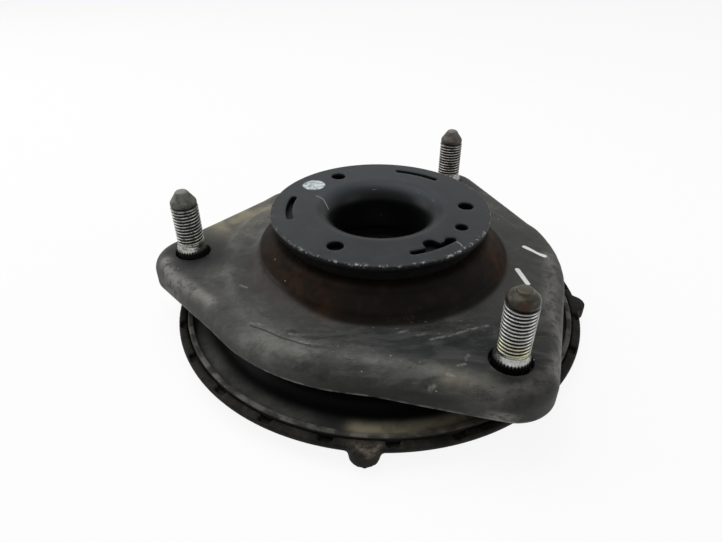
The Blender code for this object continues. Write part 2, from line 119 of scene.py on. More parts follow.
def divided(points, longest=0.001, closed=False):
    """The same section with no run longer than the given length."""
    result = []
    last = len(points) if closed else len(points) - 1
    for i in range(last):
        here, ahead = Vector(points[i]), Vector(points[(i + 1) % len(points)])
        parts = max(1, math.ceil((ahead - here).length / longest - 0.001))
        result += [here.lerp(ahead, part / parts) for part in range(parts)]
    return result if closed else result + [Vector(points[-1])]


def arc(centre, radius, first, last, steps):
    turns = [math.radians(first + (last - first) * step / steps) for step in range(steps + 1)]
    return [(centre[0] + radius * math.cos(t), centre[1] + radius * math.sin(t)) for t in turns]


# %% [markdown]
# ## From rings of points to a mesh
# A `Skin` gathers points and faces patch by patch: rows of rings, flat sheets, walls of holes.
# At the end the seams between the patches are welded and all faces are turned outwards. Cutting
# the holes with Booleans would be shorter, but it leaves long thin faces that shade badly.

# %% The gatherer
def at_height(plan, height):
    """The places of a plan at one height, or at a height for each of them."""
    return np.column_stack([plan, np.zeros(len(plan)) + height])


class Skin:
    def __init__(self):
        self.points = []
        self.faces = []
        self.count = 0

    def rows(self, grid, closed=False):
        """Faces between rows of rings; grid has the shape (rows, columns, 3), columns run round."""
        rows, columns = grid.shape[:2]
        index = np.arange(rows * columns).reshape(rows, columns)
        if closed:
            index = np.vstack([index, index[:1]])
        right = np.roll(index, -1, axis=1)
        quads = np.stack([index[:-1], index[1:], right[1:], right[:-1]], axis=-1)
        self.sheet(grid.reshape(-1, 3), quads.reshape(-1, 4))

    def sheet(self, points, faces):
        self.points.append(points)
        self.faces += (faces + self.count).tolist()
        self.count += len(points)

    def both_sides(self, plan, faces, top, thickness):
        self.sheet(at_height(plan, top), faces)
        self.sheet(at_height(plan, top - thickness), faces[:, ::-1])

    def made(self, name, weld=0.000002):
        mesh = bpy.data.meshes.new(name)
        mesh.from_pydata(np.vstack(self.points).tolist(), [], self.faces)
        shape = bmesh.new()
        shape.from_mesh(mesh)
        bmesh.ops.remove_doubles(shape, verts=shape.verts, dist=weld)
        bmesh.ops.recalc_face_normals(shape, faces=shape.faces)
        shape.to_mesh(mesh)
        open_edges = sum(1 for edge in shape.edges if len(edge.link_faces) != 2)
        shape.free()
        mesh.shade_smooth()
        piece = bpy.data.objects.new(name, mesh)
        bpy.context.scene.collection.objects.link(piece)
        print(f"{name}: {len(mesh.vertices)} points, {open_edges} open edges")
        return piece


# %% [markdown]
# Most pieces are turned: one section, swept round the axis. A Screw modifier does the same, but
# `ring_rows` does it with plain arrays, which leaves every point free to be moved afterwards.

# %% Sweep a section round the axis
def ring_rows(section, columns):
    turns = np.linspace(0.0, 2 * np.pi, columns, endpoint=False)
    section = np.array([tuple(point) for point in section])
    radius, height = section[:, :1], section[:, 1:]
    return np.stack([radius * np.cos(turns), radius * np.sin(turns), height + 0 * turns], axis=-1)


def waves(grid, height):
    """A slow, shallow unevenness, as on pressed sheet, in metres along Z."""
    x, y = grid[..., 0], grid[..., 1]
    swell = np.sin(x * 97 + 1.3) * np.sin(y * 121 + 0.4) + 0.6 * np.sin(x * 233 - y * 187)
    moved = np.zeros_like(grid)
    moved[..., 2] = swell * height
    return moved


def turned(name, corners, columns=200, longest=0.001, uneven=0.0):
    skin = Skin()
    grid = ring_rows(divided(softened(corners), longest, closed=True), columns)
    skin.rows(grid + waves(grid, uneven), closed=True)
    return skin.made(name)


# %% [markdown]
# ## Flat sheets with holes
# A flat area with round holes and slots is filled with points on a honeycomb and joined to its
# borders by Delaunay triangulation, which Blender has built in. That keeps every border crisp.

# %% Fill a flat area
def circle(centre, radius, count):
    turns = np.linspace(0.0, 2 * np.pi, count, endpoint=False)
    x, y = centre[0] + radius * np.cos(turns), centre[1] + radius * np.sin(turns)
    return np.stack([x, y], axis=-1)


def inside(points, loop):
    """Which points lie inside a closed loop, by counting how often a ray crosses it."""
    x, y = points[:, :1], points[:, 1:]
    x0, y0 = loop[:, 0], loop[:, 1]
    x1, y1 = np.roll(x0, -1), np.roll(y0, -1)
    spans = (y0 > y) != (y1 > y)
    slope = np.where(y1 == y0, 1.0, y1 - y0)
    return ((spans & (x < x0 + (y - y0) * (x1 - x0) / slope)).sum(axis=1) % 2) == 1


def within(points, outer, holes):
    """Which points lie inside the outer loop and outside every hole."""
    keep = inside(points, outer)
    for hole in holes:
        keep &= ~inside(points, hole)
    return keep


def honeycomb(outer, spacing):
    low, high = outer.min(axis=0), outer.max(axis=0)
    rows = np.arange(low[1], high[1], spacing * 0.866)
    return np.array([
        (x + (i % 2) * spacing / 2, y)
        for i, y in enumerate(rows) for x in np.arange(low[0], high[0], spacing)
    ])


def flat_fill(outer, holes, spacing):
    """Points (n, 2) and triangles between an outer loop and the loops of its holes."""
    loops = [outer] + holes
    border = np.vstack(loops)
    tree = kdtree.KDTree(len(border))
    for i, (x, y) in enumerate(border):
        tree.insert((x, y, 0.0), i)
    tree.balance()
    comb = honeycomb(outer, spacing)
    comb = comb[within(comb, outer, holes)]
    comb = comb[[tree.find((x, y, 0.0))[2] > spacing * 0.55 for x, y in comb]]
    edges, start = [], 0
    for loop in loops:
        count = len(loop)
        edges += [(start + i, start + (i + 1) % count) for i in range(count)]
        start += count
    spread = [Vector(point) for point in np.vstack([border, comb])]
    filled = delaunay_2d_cdt(spread, edges, [], 1, 0.0000001)
    points = np.array([tuple(point) for point in filled[0]])
    faces = np.array(filled[2])
    return points, faces[within(points[faces].mean(axis=1), outer, holes)]


# %% [markdown]
# ## The pressed upper plate
# One blank of 3 mm steel, pressed into a rounded triangle with three lobes for the studs. Its
# border turns down over a round shoulder into a short skirt, the middle stands 1 mm proud of the
# stud pads, and the dome for the rubber rises from it. The border is an outline that can be moved
# inwards: a circle round the middle, a smaller circle round each stud, and the tangents between.

# %% Sizes of the upper plate
upper_sheet = 0.0030
stud_angles = (60.0, 180.0, 300.0)
stud_circle_radius = 0.0720
stud_hole_radius = 0.0065
middle_radius = 0.0698
lobe_radius = 0.0148
shoulder_radius = 0.0056
centre_rise = 0.0010
centre_radius = 0.0580
rise_width = 0.0023
dome_shoulder = 0.0030
dome_top_radius = 0.0386
dome_base_radius = 0.0454
dome_fillet = 0.0051
dome_wall_lean = 20.0
dome_foot_radius = dome_base_radius + dome_fillet
tangent_angle = math.degrees(math.acos((middle_radius - lobe_radius) / stud_circle_radius))


def ring_point(radius, degrees):
    return np.array((math.cos(math.radians(degrees)), math.sin(math.radians(degrees)))) * radius


stud_places = [ring_point(stud_circle_radius, angle) for angle in stud_angles]
print("tangents leave the lobes at", round(tangent_angle, 2), "degrees")

# %% The outline, moved inwards as far as asked
def outline(inset, lobe_steps=26, middle_steps=48, side_steps=46):
    points = []
    span = 120.0 - 2 * tangent_angle
    shares = np.arange(1, side_steps)[:, None] / side_steps
    for angle in stud_angles:
        place = ring_point(stud_circle_radius, angle)
        start, sweep = angle - tangent_angle, 2 * tangent_angle
        turns = [start + sweep * i / lobe_steps for i in range(lobe_steps + 1)]
        lobe = [place + ring_point(lobe_radius - inset, turn) for turn in turns]
        turns = [angle + tangent_angle + span * i / middle_steps for i in range(middle_steps + 1)]
        middle = [ring_point(middle_radius - inset, turn) for turn in turns]
        ahead = ring_point(stud_circle_radius, angle + 120.0)
        ahead = ahead + ring_point(lobe_radius - inset, angle + 120.0 - tangent_angle)
        points += [lobe, lobe[-1] + (middle[0] - lobe[-1]) * shares]
        points += [middle, middle[-1] + (ahead - middle[-1]) * shares]
    return np.vstack(points)


# %% [markdown]
# The top of the plate is a height for every place on it. The raised centre ends in a soft step
# round the stud pads, and only in the middle of each side does it run out to the shoulder. The
# marks of handling follow: a crease along the front edge, knocks along the right edge, and a slow
# swell. Sculpting could add them by hand, but a formula can be read, changed and made again.

# %% Soft steps, and distances from a line
def eased(value):
    value = np.clip(value, 0.0, 1.0)
    return value * value * (3 - 2 * value)


def line_distance(x, y, line):
    """Distance in the XY plane from a line through the given places, in metres."""
    nearest = np.full(np.shape(x), 1.0)
    for (x0, y0), (x1, y1) in zip(line[:-1], line[1:]):
        run, rise = x1 - x0, y1 - y0
        share = np.clip(((x - x0) * run + (y - y0) * rise) / (run * run + rise * rise), 0.0, 1.0)
        nearest = np.minimum(nearest, np.hypot(x - x0 - share * run, y - y0 - share * rise))
    return nearest


def near(x, y, line, width):
    """1 on a line, falling softly to 0 about a width away."""
    return np.exp(-(line_distance(x, y, line) / width) ** 2)


# %% Heights on the plate
crease_depth = 0.00016
knock_height = 0.00030
swell_height = 0.00005
right_ridge = (
    (0.0645, -0.0060), (0.0605, -0.0234), (0.0564, -0.0322),
    (0.0553, -0.0419), (0.0546, -0.0550), (0.0493, -0.0666),
)
crease = (
    (-0.0427, -0.0466), (-0.0377, -0.0491), (-0.0326, -0.0524),
    (-0.0263, -0.0553), (-0.0232, -0.0562),
)


def middle_share(x, y):
    """1 in the middle of a side, 0 towards the lobes."""
    turn = np.degrees(np.arctan2(y, x)) % 120.0
    return eased((20.0 - np.minimum(turn, 120.0 - turn)) / 8.0)


def plate_height(x, y):
    radius = np.hypot(x, y)
    step = eased((radius - centre_radius) / rise_width)
    height = centre_rise * (1 - step * (1 - middle_share(x, y)))
    height = height - crease_depth * near(x, y, crease, 0.0005)
    knocks = np.sin(x * 830 + y * 410) * np.sin(y * 620 - x * 350)
    height = height + knock_height * knocks * near(x, y, right_ridge, 0.0075)
    swell = np.sin(x * 163 + 0.7) * np.sin(y * 141 - 0.2) + 0.5 * np.sin(x * 301 + y * 257)
    return height + swell_height * swell * eased((radius - dome_foot_radius) / 0.004)


# %% [markdown]
# The plate is gathered from four kinds of patch: the flat sheet with its stud holes, once for the
# top and once for the underside; rings over shoulder and skirt; rings over the dome; and walls of
# the holes. Rows of the rings end exactly on the borders of the sheets, so the weld closes them.

# %% Rows over the shoulder and the skirt
skirt_depth = 0.0070
nose_drop = -skirt_foot - skirt_depth
nose_half_angle = 6.0
nose_ramp = 28.0
edge_soft = 0.0005
edge_fine = 0.0001


def nose_share(x, y):
    """1 at the nose of a lobe, where the skirt is deepest, 0 in the middle of a side."""
    off_nose = np.abs(np.degrees(np.arctan2(y, x)) % 120.0 - 60.0)
    return np.clip((nose_half_angle + nose_ramp - off_nose) / nose_ramp, 0.0, 1.0)


def border_rows(rows):
    """Each row is (inset, height, share of the raised middle, share of the drop at the noses)."""
    top = plate_height(*outline(shoulder_radius).T)
    rings = []
    for inset, height, share, drop in rows:
        ring = outline(inset)
        rings.append(at_height(ring, height + top * share - nose_drop * drop * nose_share(*ring.T)))
    return np.stack(rings)


def skirt_height(share):
    return -shoulder_radius + (edge_soft + shoulder_radius - skirt_depth) * share


under = shoulder_radius - upper_sheet
quarter = [math.radians(90.0 * i / 9) for i in range(10)]
rows = [
    (shoulder_radius * (1 - math.sin(t)), -shoulder_radius * (1 - math.cos(t)), math.cos(t), 0.0)
    for t in quarter
]
rows += [(0.0, skirt_height(i / 6), 0.0, i / 6) for i in range(1, 7)]
rows += [
    (inset, height - skirt_depth, 0.0, 1.0)
    for inset, height in (
        (edge_fine, 2 * edge_fine), (edge_soft, 0.0), (upper_sheet / 2, 0.0),
        (upper_sheet - edge_soft, 0.0), (upper_sheet - edge_fine, 2 * edge_fine),
    )
]
rows += [(upper_sheet, skirt_height(i / 4), 0.0, i / 4) for i in (4, 3, 2, 1)]
rows += [
    (shoulder_radius - under * math.sin(t), under * math.cos(t) - shoulder_radius, math.cos(t), 0.0)
    for t in reversed(quarter)
]
plate_border = border_rows(rows)
print("border of the plate", plate_border.shape[:2])

# %% Rows over the dome, from its foot on top to its foot underneath
fillet_centre = (dome_foot_radius, centre_rise + dome_fillet)
rim_centre = (dome_top_radius, dome_top - dome_shoulder)
dome_under = dome_top - upper_sheet
dome = arc(fillet_centre, dome_fillet, 270.0, 180.0 + dome_wall_lean, 10)
dome += arc(rim_centre, dome_shoulder, dome_wall_lean, 90.0, 8)
dome += [
    (dome_hole_radius + 0.0004, dome_top), (dome_hole_radius + 0.0001, dome_top - 0.0001),
    (dome_hole_radius, dome_top - 0.0004), (dome_hole_radius, dome_under + 0.0003),
    (dome_hole_radius + 0.0003, dome_under), rim_centre,
]
dome += arc(fillet_centre, dome_fillet + upper_sheet, 180.0 + dome_wall_lean, 270.0, 10)
plate_dome = ring_rows(divided(dome), 360)

# %% Walls of holes
def hole_rows(place, loop, rows, height_of):
    """The wall of a hole; rows are (how much wider than the hole, height below the sheet's top)."""
    rings = [(loop(place, wider), drop) for wider, drop in rows]
    return np.stack([at_height(ring, height_of(*ring.T) - drop) for ring, drop in rings])


def stud_hole(place, wider, radius=stud_hole_radius):
    return circle(place, radius + wider, 72)


def wall_drops(thickness, soft):
    return [
        (soft, 0.0), (soft * 0.3, soft * 0.3), (0.0, soft), (0.0, thickness / 2),
        (0.0, thickness - soft), (soft * 0.3, thickness - soft * 0.3), (soft, thickness),
    ]


# %% The sheet between them, and the finished plate
hole_soft = 0.0004
holes = [stud_hole(place, hole_soft) for place in stud_places]
foot_ring = circle((0.0, 0.0), dome_foot_radius, 360)
plan, plan_faces = flat_fill(outline(shoulder_radius), holes + [foot_ring], 0.0011)
plate = Skin()
plate.rows(plate_border)
plate.rows(plate_dome)
plate.both_sides(plan, plan_faces, plate_height(*plan.T), upper_sheet)
for place in stud_places:
    plate.rows(hole_rows(place, stud_hole, wall_drops(upper_sheet, hole_soft), plate_height))
plate_skin = plate.made("plate_skin")
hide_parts("upper_plate")
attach(plate_skin, "mount")

# %% [markdown]
# ## The lower plate
# A flat plate closes the dome from below. It holds the studs' knurled collars, and its middle is
# drawn down into a short collar on which the bearing sits. It only shows from underneath, so it
# is made from the same patches as the upper plate, but with fewer points.

# %% Lower plate and collar
lower_sheet = 0.0025
lower_soft = 0.0003
collar_radius = radii("lower_plate")[0]
collar_foot, lower_top = heights("lower_plate")
collar_bend = 0.0031
press_hole_radius = 0.00595
press_soft = 0.0002
bend_centre = (collar_radius + collar_bend, lower_top - collar_bend)
collar = arc(bend_centre, collar_bend, 90.0, 180.0, 8)
collar += [
    (collar_radius, collar_foot + lower_soft), (collar_radius + lower_soft, collar_foot),
    (collar_radius + lower_sheet - lower_soft, collar_foot),
    (collar_radius + lower_sheet, collar_foot + lower_soft),
]
collar += arc(bend_centre, collar_bend - lower_sheet, 180.0, 90.0, 4)


def press_hole(place, wider):
    return stud_hole(place, wider, press_hole_radius)


# %% The finished lower plate
press_holes = [press_hole(place, press_soft) for place in stud_places]
collar_ring = circle((0.0, 0.0), bend_centre[0], 240)
rim_inset = shoulder_radius + fit_gap
plan, plan_faces = flat_fill(outline(rim_inset + lower_soft), press_holes + [collar_ring], 0.0016)
under_plate = Skin()
under_plate.rows(ring_rows(divided(collar), 240))
under_plate.both_sides(plan, plan_faces, lower_top, lower_sheet)
press_drops = wall_drops(lower_sheet, press_soft)
for place in stud_places:
    under_plate.rows(hole_rows(place, press_hole, press_drops, lambda x, y: lower_top))
under_plate.rows(np.stack([
    at_height(outline(rim_inset + wider), lower_top - drop)
    for wider, drop in wall_drops(lower_sheet, lower_soft)
]))
under_plate_skin = under_plate.made("under_plate_skin")
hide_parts("lower_plate")
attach(under_plate_skin, "mount")

# %% [markdown]
# ## The stop disc
# On top lies a flat disc, drawn in one with a neck that rolls down into the rubber's core. It has
# three round holes, a smaller one, and three slots; one slot runs into a round hole beside it.
# Each opening is a loop that can be widened a little, which gives its edge a small radius.

# %% Loops of the openings
disc_sheet = 0.0025
neck_roll = 0.0077
roll_radius = neck_radius + neck_roll
disc_hole_circle = 0.0318
slot_circle = 0.0335
slot_half_angle = 14.0
slot_half_width = 0.0012
joined_holes = ((0.0310, 0.0, 0.00275), (0.0331, 12.0, 0.0017))


def round_hole(place, wider, radius=0.0029):
    return circle(place, radius + wider, 40)


def small_hole(place, wider):
    return round_hole(place, wider, 0.0023)


def slot_end(angle, half, first):
    """The round end of a slot, from one side of it to the other."""
    centre = ring_point(slot_circle, angle)
    return [centre + ring_point(half, first + turn) for turn in np.linspace(0.0, 180.0, 9)[1:-1]]


def slot_loop(angle, wider, extra=()):
    """A slot bent round the axis; extra holes (circle, angle, radius) may break its inner side."""
    half = slot_half_width + wider
    sweep = np.linspace(-slot_half_angle, slot_half_angle, 33)
    outer = [ring_point(slot_circle + half, angle + turn) for turn in sweep]
    inner = []
    for turn in sweep[::-1]:
        depth = slot_circle - half
        for extra_circle, extra_angle, extra_radius in extra:
            off = math.radians(turn - extra_angle)
            across = extra_circle * math.sin(off)
            reach = (extra_radius + wider) ** 2 - across * across
            if reach > 0:
                depth = min(depth, extra_circle * math.cos(off) - math.sqrt(reach))
        inner.append(ring_point(depth, angle + turn))
    last, first = angle + slot_half_angle, angle - slot_half_angle
    close = slot_end(first, half, first + 180.0)
    return np.array(outer + slot_end(last, half, last) + inner + close)


def joined_loop(angle, wider):
    return slot_loop(angle, wider, extra=joined_holes)


# %% The disc, its openings and its rolled neck
disc_edge = 0.0005
disc_soft = 0.00025
disc_bottom = disc_top - disc_sheet
edge_radius = disc_radius - disc_edge
openings = [(ring_point(disc_hole_circle, angle), round_hole) for angle in (0.0, 120.0, 240.0)]
openings += [(ring_point(disc_hole_circle, -29.9), small_hole)]
openings += [(60.0, slot_loop), (180.0, slot_loop), (300.0, joined_loop)]
loops = [loop(place, disc_soft) for place, loop in openings]
loops.append(circle((0.0, 0.0), roll_radius, 240))
plan, plan_faces = flat_fill(circle((0.0, 0.0), edge_radius, 300), loops, 0.0010)
disc = Skin()
disc.both_sides(plan, plan_faces, disc_top, disc_sheet)
for place, loop in openings:
    drops = wall_drops(disc_sheet, disc_soft)
    disc.rows(hole_rows(place, loop, drops, lambda x, y: disc_top))
rim = arc((edge_radius, disc_top - disc_edge), disc_edge, 90.0, 0.0, 4)
rim += arc((edge_radius, disc_bottom + disc_edge), disc_edge, 0.0, -90.0, 4)
disc.rows(ring_rows(divided(rim, 0.0008), 300))
roll_centre = (roll_radius, disc_top - neck_roll)
neck = arc(roll_centre, neck_roll, 90.0, 180.0, 16)
neck += [
    (neck_radius, neck_foot + 0.0004), (neck_radius + 0.0003, neck_foot),
    (neck_radius + disc_sheet - 0.0003, neck_foot), (neck_radius + disc_sheet, neck_foot + 0.0004),
]
neck += arc(roll_centre, neck_roll - disc_sheet, 180.0, 90.0, 12)
disc.rows(ring_rows(divided(neck), 240))
disc_skin = disc.made("disc_skin")
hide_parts("stop_disc")
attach(disc_skin, "mount")

# %% [markdown]
# ## The core cup and the rubber bush
# The cup is drawn steel: it takes the strut's rod and its nut, and the rubber is bonded to its
# outside. The rubber is one moulding with a cushion above the dome's rim, on which the disc lands,
# and a body that fills the dome. Both are plain turned forms with soft corners.

# %% Core cup
core_low, core_high = heights("core_cup")
rod_hole_radius, core_outer_radius = radii("core_cup")
core_inner_radius = core_outer_radius - 0.0022
core_floor = core_low + 0.0030
core_corners = [
    (core_inner_radius, core_high, 0.0003),
    (core_outer_radius, core_high, 0.0006),
    (core_outer_radius, core_low, 0.0018),
    (rod_hole_radius, core_low, 0.0003),
    (rod_hole_radius, core_floor, 0.0005),
    (core_inner_radius, core_floor, 0.0014),
]
core_skin = turned("core_skin", core_corners, columns=160)
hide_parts("core_cup")
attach(core_skin, "mount")

# %% Rubber bush
bush_inner_radius = core_outer_radius + fit_gap
bush_low, bush_high = heights("rubber_bush")
lip_width = 0.0035
cushion_radius = 0.0378
cushion_foot_radius = 0.0368
bush_shoulder_radius = 0.0374
bush_body_radius = 0.0420
bush_arch = bush_low + 0.0032
waist_radius = dome_hole_radius - fit_gap
flange_top = dome_top + fit_gap
flange_bottom = dome_under - fit_gap
bush_corners = [
    (bush_inner_radius, bush_high - 0.0014, 0.0004),
    (bush_inner_radius + lip_width, bush_high, 0.0012),
    (cushion_radius, bush_high, 0.0011),
    (cushion_foot_radius, flange_top, 0.0004),
    (waist_radius, flange_top, 0.0003),
    (waist_radius, flange_bottom, 0.0003),
    (bush_shoulder_radius, flange_bottom, 0.0008),
    (bush_body_radius, flange_bottom - 0.0052, 0.0020),
    (bush_body_radius, lower_top + fit_gap, 0.0004),
    (bend_centre[0], lower_top + fit_gap, 0.0004),
]
bend = arc(bend_centre, collar_bend + fit_gap, 90.0, 180.0, 6)
bush_corners += [(*point, 0.0) for point in bend[1:]]
bush_corners += [
    (collar_radius - fit_gap, bush_low, 0.0008),
    (collar_radius - 0.0023, bush_low, 0.0008),
    (collar_radius - 0.0047, bush_arch, 0.0014),
    (bush_inner_radius + 0.0010, bush_arch, 0.0014),
    (bush_inner_radius, bush_low + 0.0012, 0.0006),
]
bush_skin = turned("bush_skin", bush_corners)
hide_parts("rubber_bush")
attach(bush_skin, "mount")

# %% [markdown]
# ## The bearing's case
# A moulded cap covers the bearing from above, with one skirt outside the balls and one inside.
# Mouldings have small radii everywhere, so the corners of its section are softened.

# %% Bearing case
case_bore, case_radius = radii("bearing_case")
case_low, case_high = heights("bearing_case")
race_inner_radius, race_outer_radius = radii("upper_race")
case_roof = heights("upper_race")[1] + fit_gap
case_ledge = case_roof - 0.0034
case_wall = 0.0015
case_corners = [
    (case_bore, case_high, 0.0009),
    (case_radius, case_high, 0.0012),
    (case_radius, case_low, 0.0005),
    (case_radius - case_wall, case_low, 0.0005),
    (case_radius - case_wall, case_ledge, 0.0003),
    (race_outer_radius + fit_gap, case_ledge, 0.0003),
    (race_outer_radius + fit_gap, case_roof, 0.0003),
    (race_inner_radius - fit_gap, case_roof, 0.0003),
    (race_inner_radius - fit_gap, case_ledge, 0.0003),
    (case_bore + case_wall, case_ledge, 0.0003),
    (case_bore + case_wall, case_low, 0.0005),
    (case_bore, case_low, 0.0005),
]
case_skin = turned("case_skin", case_corners)
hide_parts("bearing_case")
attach(case_skin, "mount")

# %% [markdown]
# ## The spring seat
# The dish under the plate is pressed from 2 mm sheet. A flat shelf carries the bearing's lower
# race, then the sheet drops into a channel for the spring's end coil and turns up into a rim. The
# upper surface is drawn first, and the lower one follows it at the sheet's thickness.

# %% Spring seat
seat_sheet = 0.0020
seat_neck_radius, seat_rim_radius = radii("spring_seat")
seat_neck_foot, seat_top = heights("spring_seat")
shelf_radius = 0.0600
channel_radius = 0.0645
under_shift = 0.0008
channel_top = seat_top - 0.0032
rim_top = channel_top + 0.0020
seat_corners = [
    (seat_neck_radius, seat_neck_foot, 0.0004),
    (seat_neck_radius, seat_top, 0.0042),
    (shelf_radius, seat_top, 0.0022),
    (channel_radius, channel_top, 0.0022),
    (seat_rim_radius - seat_sheet, channel_top, 0.0012),
    (seat_rim_radius - seat_sheet, rim_top, 0.0005),
    (seat_rim_radius, rim_top, 0.0007),
    (seat_rim_radius, channel_top - seat_sheet, 0.0032),
    (channel_radius - under_shift, channel_top - seat_sheet, 0.0022),
    (shelf_radius - under_shift, seat_top - seat_sheet, 0.0022),
    (seat_neck_radius + seat_sheet, seat_top - seat_sheet, 0.0012),
    (seat_neck_radius + seat_sheet, seat_neck_foot, 0.0004),
]
seat_skin = turned("seat_skin", seat_corners, columns=360, longest=0.0011, uneven=0.00005)
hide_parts("spring_seat")
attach(seat_skin, "seat")

# %% [markdown]
# ## The spring pad
# A rubber ring wraps the rim of the dish. Its lip has a row of pockets, and four bosses outside
# tell the fitter how to turn it. Here simple solids do most of the work: a turned ring, round
# bosses joined to it, and blocks cut from it. A remesh then gives the even, soft edges of rubber.

# %% Helper solids for the pad
def upright(name, loops, low, high):
    """Upright blocks on flat loops, as one mesh to join or to cut with."""
    skin = Skin()
    for loop in loops:
        count = len(loop)
        middle = loop.mean(axis=0)
        fan = np.array([(i, (i + 1) % count, count) for i in range(count)])
        skin.rows(np.stack([at_height(loop, high), at_height(loop, low)]))
        for height in (low, high):
            skin.sheet(at_height(np.vstack([loop, middle]), height), fan)
    return skin.made(name)


def combined(piece, other, operation):
    change = piece.modifiers.new(other.name, "BOOLEAN")
    change.operation = operation
    change.solver = "EXACT"
    change.object = other


def applied(piece):
    """Bakes the modifiers of a piece into its mesh."""
    graph = bpy.context.evaluated_depsgraph_get()
    mesh = bpy.data.meshes.new_from_object(piece.evaluated_get(graph))
    piece.modifiers.clear()
    piece.data = mesh


# %% The pad's ring
pad_foot = heights("spring_pad")[0]
pad_inner_radius = radii("spring_pad")[0]
pad_radius = 0.0785
pad_side_radius = 0.0752
pad_foot_radius = 0.0730
lip_top = rim_top - 0.0006
pad_floor = channel_top - seat_sheet - fit_gap
grip = seat_rim_radius + fit_gap
grip_bend = 0.0033
pad_corners = [
    (grip, lip_top, 0.0003),
    (pad_radius, lip_top, 0.0007),
    (pad_radius, lip_top - 0.0020, 0.0009),
    (pad_side_radius, pad_foot + 0.0017, 0.0012),
    (pad_foot_radius, pad_foot, 0.0012),
    (pad_inner_radius + 0.0014, pad_foot, 0.0010),
    (pad_inner_radius, pad_foot + 0.0014, 0.0008),
    (pad_inner_radius, pad_floor - 0.0010, 0.0006),
    (pad_inner_radius + 0.0014, pad_floor, 0.0006),
    (grip - 0.0030, pad_floor, 0.0),
]
bend = arc((grip - grip_bend, pad_floor + grip_bend), grip_bend, -80.0, 0.0, 6)
pad_corners += [(*point, 0.0) for point in bend]
pad_skin = turned("pad_skin", pad_corners, columns=288)

# %% Its bosses and pockets
boss_radius = 0.0049
boss_reach = 0.0031
boss_depth = 0.0056
boss_circle = pad_radius + boss_reach - boss_radius
boss_top = lip_top + 0.0003
boss_angles = (-95.4, -7.6, 83.3, 173.3)
boss_wall = 0.0006
pocket_count = 24
first_pocket = 0.8
pocket_half = 0.0021
pocket_depth = 0.0023


def boss_loop(place):
    """A boss's circle, kept clear of the groove that grips the seat's rim."""
    loop = circle(place, boss_radius, 40)
    reach = np.hypot(*loop.T)
    return loop * np.maximum(1.0, (grip + boss_wall) / reach)[:, None]


def pocket_loop(turn):
    along, across = ring_point(1.0, turn), ring_point(1.0, turn + 90.0)
    near_edge, far_edge = seat_rim_radius - 0.003, pad_radius - 0.0008
    corners = ((near_edge, -1), (far_edge, -1), (far_edge, 1), (near_edge, 1))
    return np.array([along * reach + across * pocket_half * side for reach, side in corners])


boss_loops = [boss_loop(ring_point(boss_circle, angle)) for angle in boss_angles]
bosses = upright("bosses", boss_loops, boss_top - boss_depth, boss_top)
pocket_loops = [pocket_loop(first_pocket + 360.0 / pocket_count * i) for i in range(pocket_count)]
pockets = upright("pockets", pocket_loops, lip_top - pocket_depth, lip_top + 0.002)

# %% The finished pad
combined(pad_skin, bosses, "UNION")
combined(pad_skin, pockets, "DIFFERENCE")
remesh = pad_skin.modifiers.new("Even rubber", "REMESH")
remesh.mode = "VOXEL"
remesh.voxel_size = 0.00058
relax = pad_skin.modifiers.new("Soft edges", "SMOOTH")
relax.factor = 0.5
relax.iterations = 4
applied(pad_skin)
for helper in (bosses, pockets):
    bpy.data.objects.remove(helper, do_unlink=True)
pad_skin.data.shade_smooth()
print("pad", len(pad_skin.data.polygons), "faces")
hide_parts("spring_pad")
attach(pad_skin, "seat")

# %% [markdown]
# ## The studs
# Each stud is pressed in from below: a flat head, a knurled collar that bites into the lower plate,
# then an M10 x 1.25 thread, a groove and a coned tip. The thread is a helix: the radius depends on
# the height and the angle together. The knurl is a ring of flutes cut into the collar's cone, so
# the cone ends in a toothed line. One formula gives both: the radius at any height and angle.

# %% Radius of a stud at any height and angle
thread_radius = 0.00495
thread_depth = 0.00074
pitch = 0.00125
cone_top = 0.0042
cone_slope = 0.304
knurl_radius = 0.00565
tooth_depth = 0.00024
teeth = 34


def thread_profile(phase):
    """Depth share across one turn of the thread: flat crest, flanks at 60 degrees, round root."""
    slope = np.abs(phase - 0.5) * 2
    return np.clip((slope - 0.14) / 0.74, 0.0, 1.0)


def stud_radius(height, turn, thread_top):
    phase = (height / pitch - turn / (2 * np.pi)) % 1.0
    run_out = eased((height - cone_top - 0.0004) / 0.0012) * eased((thread_top - height) / 0.0006)
    worn = 1 - 0.06 * np.sin(turn * 2 + height * 900)
    thread = thread_radius - thread_depth * thread_profile(phase) * run_out * worn
    cone = thread_radius + (cone_top - height) * cone_slope
    tooth = np.abs(((turn * teeth / (2 * np.pi)) % 1.0) - 0.5) * 2
    collar = np.minimum(cone, knurl_radius - tooth_depth * tooth)
    return np.where(height > cone_top, thread, collar)


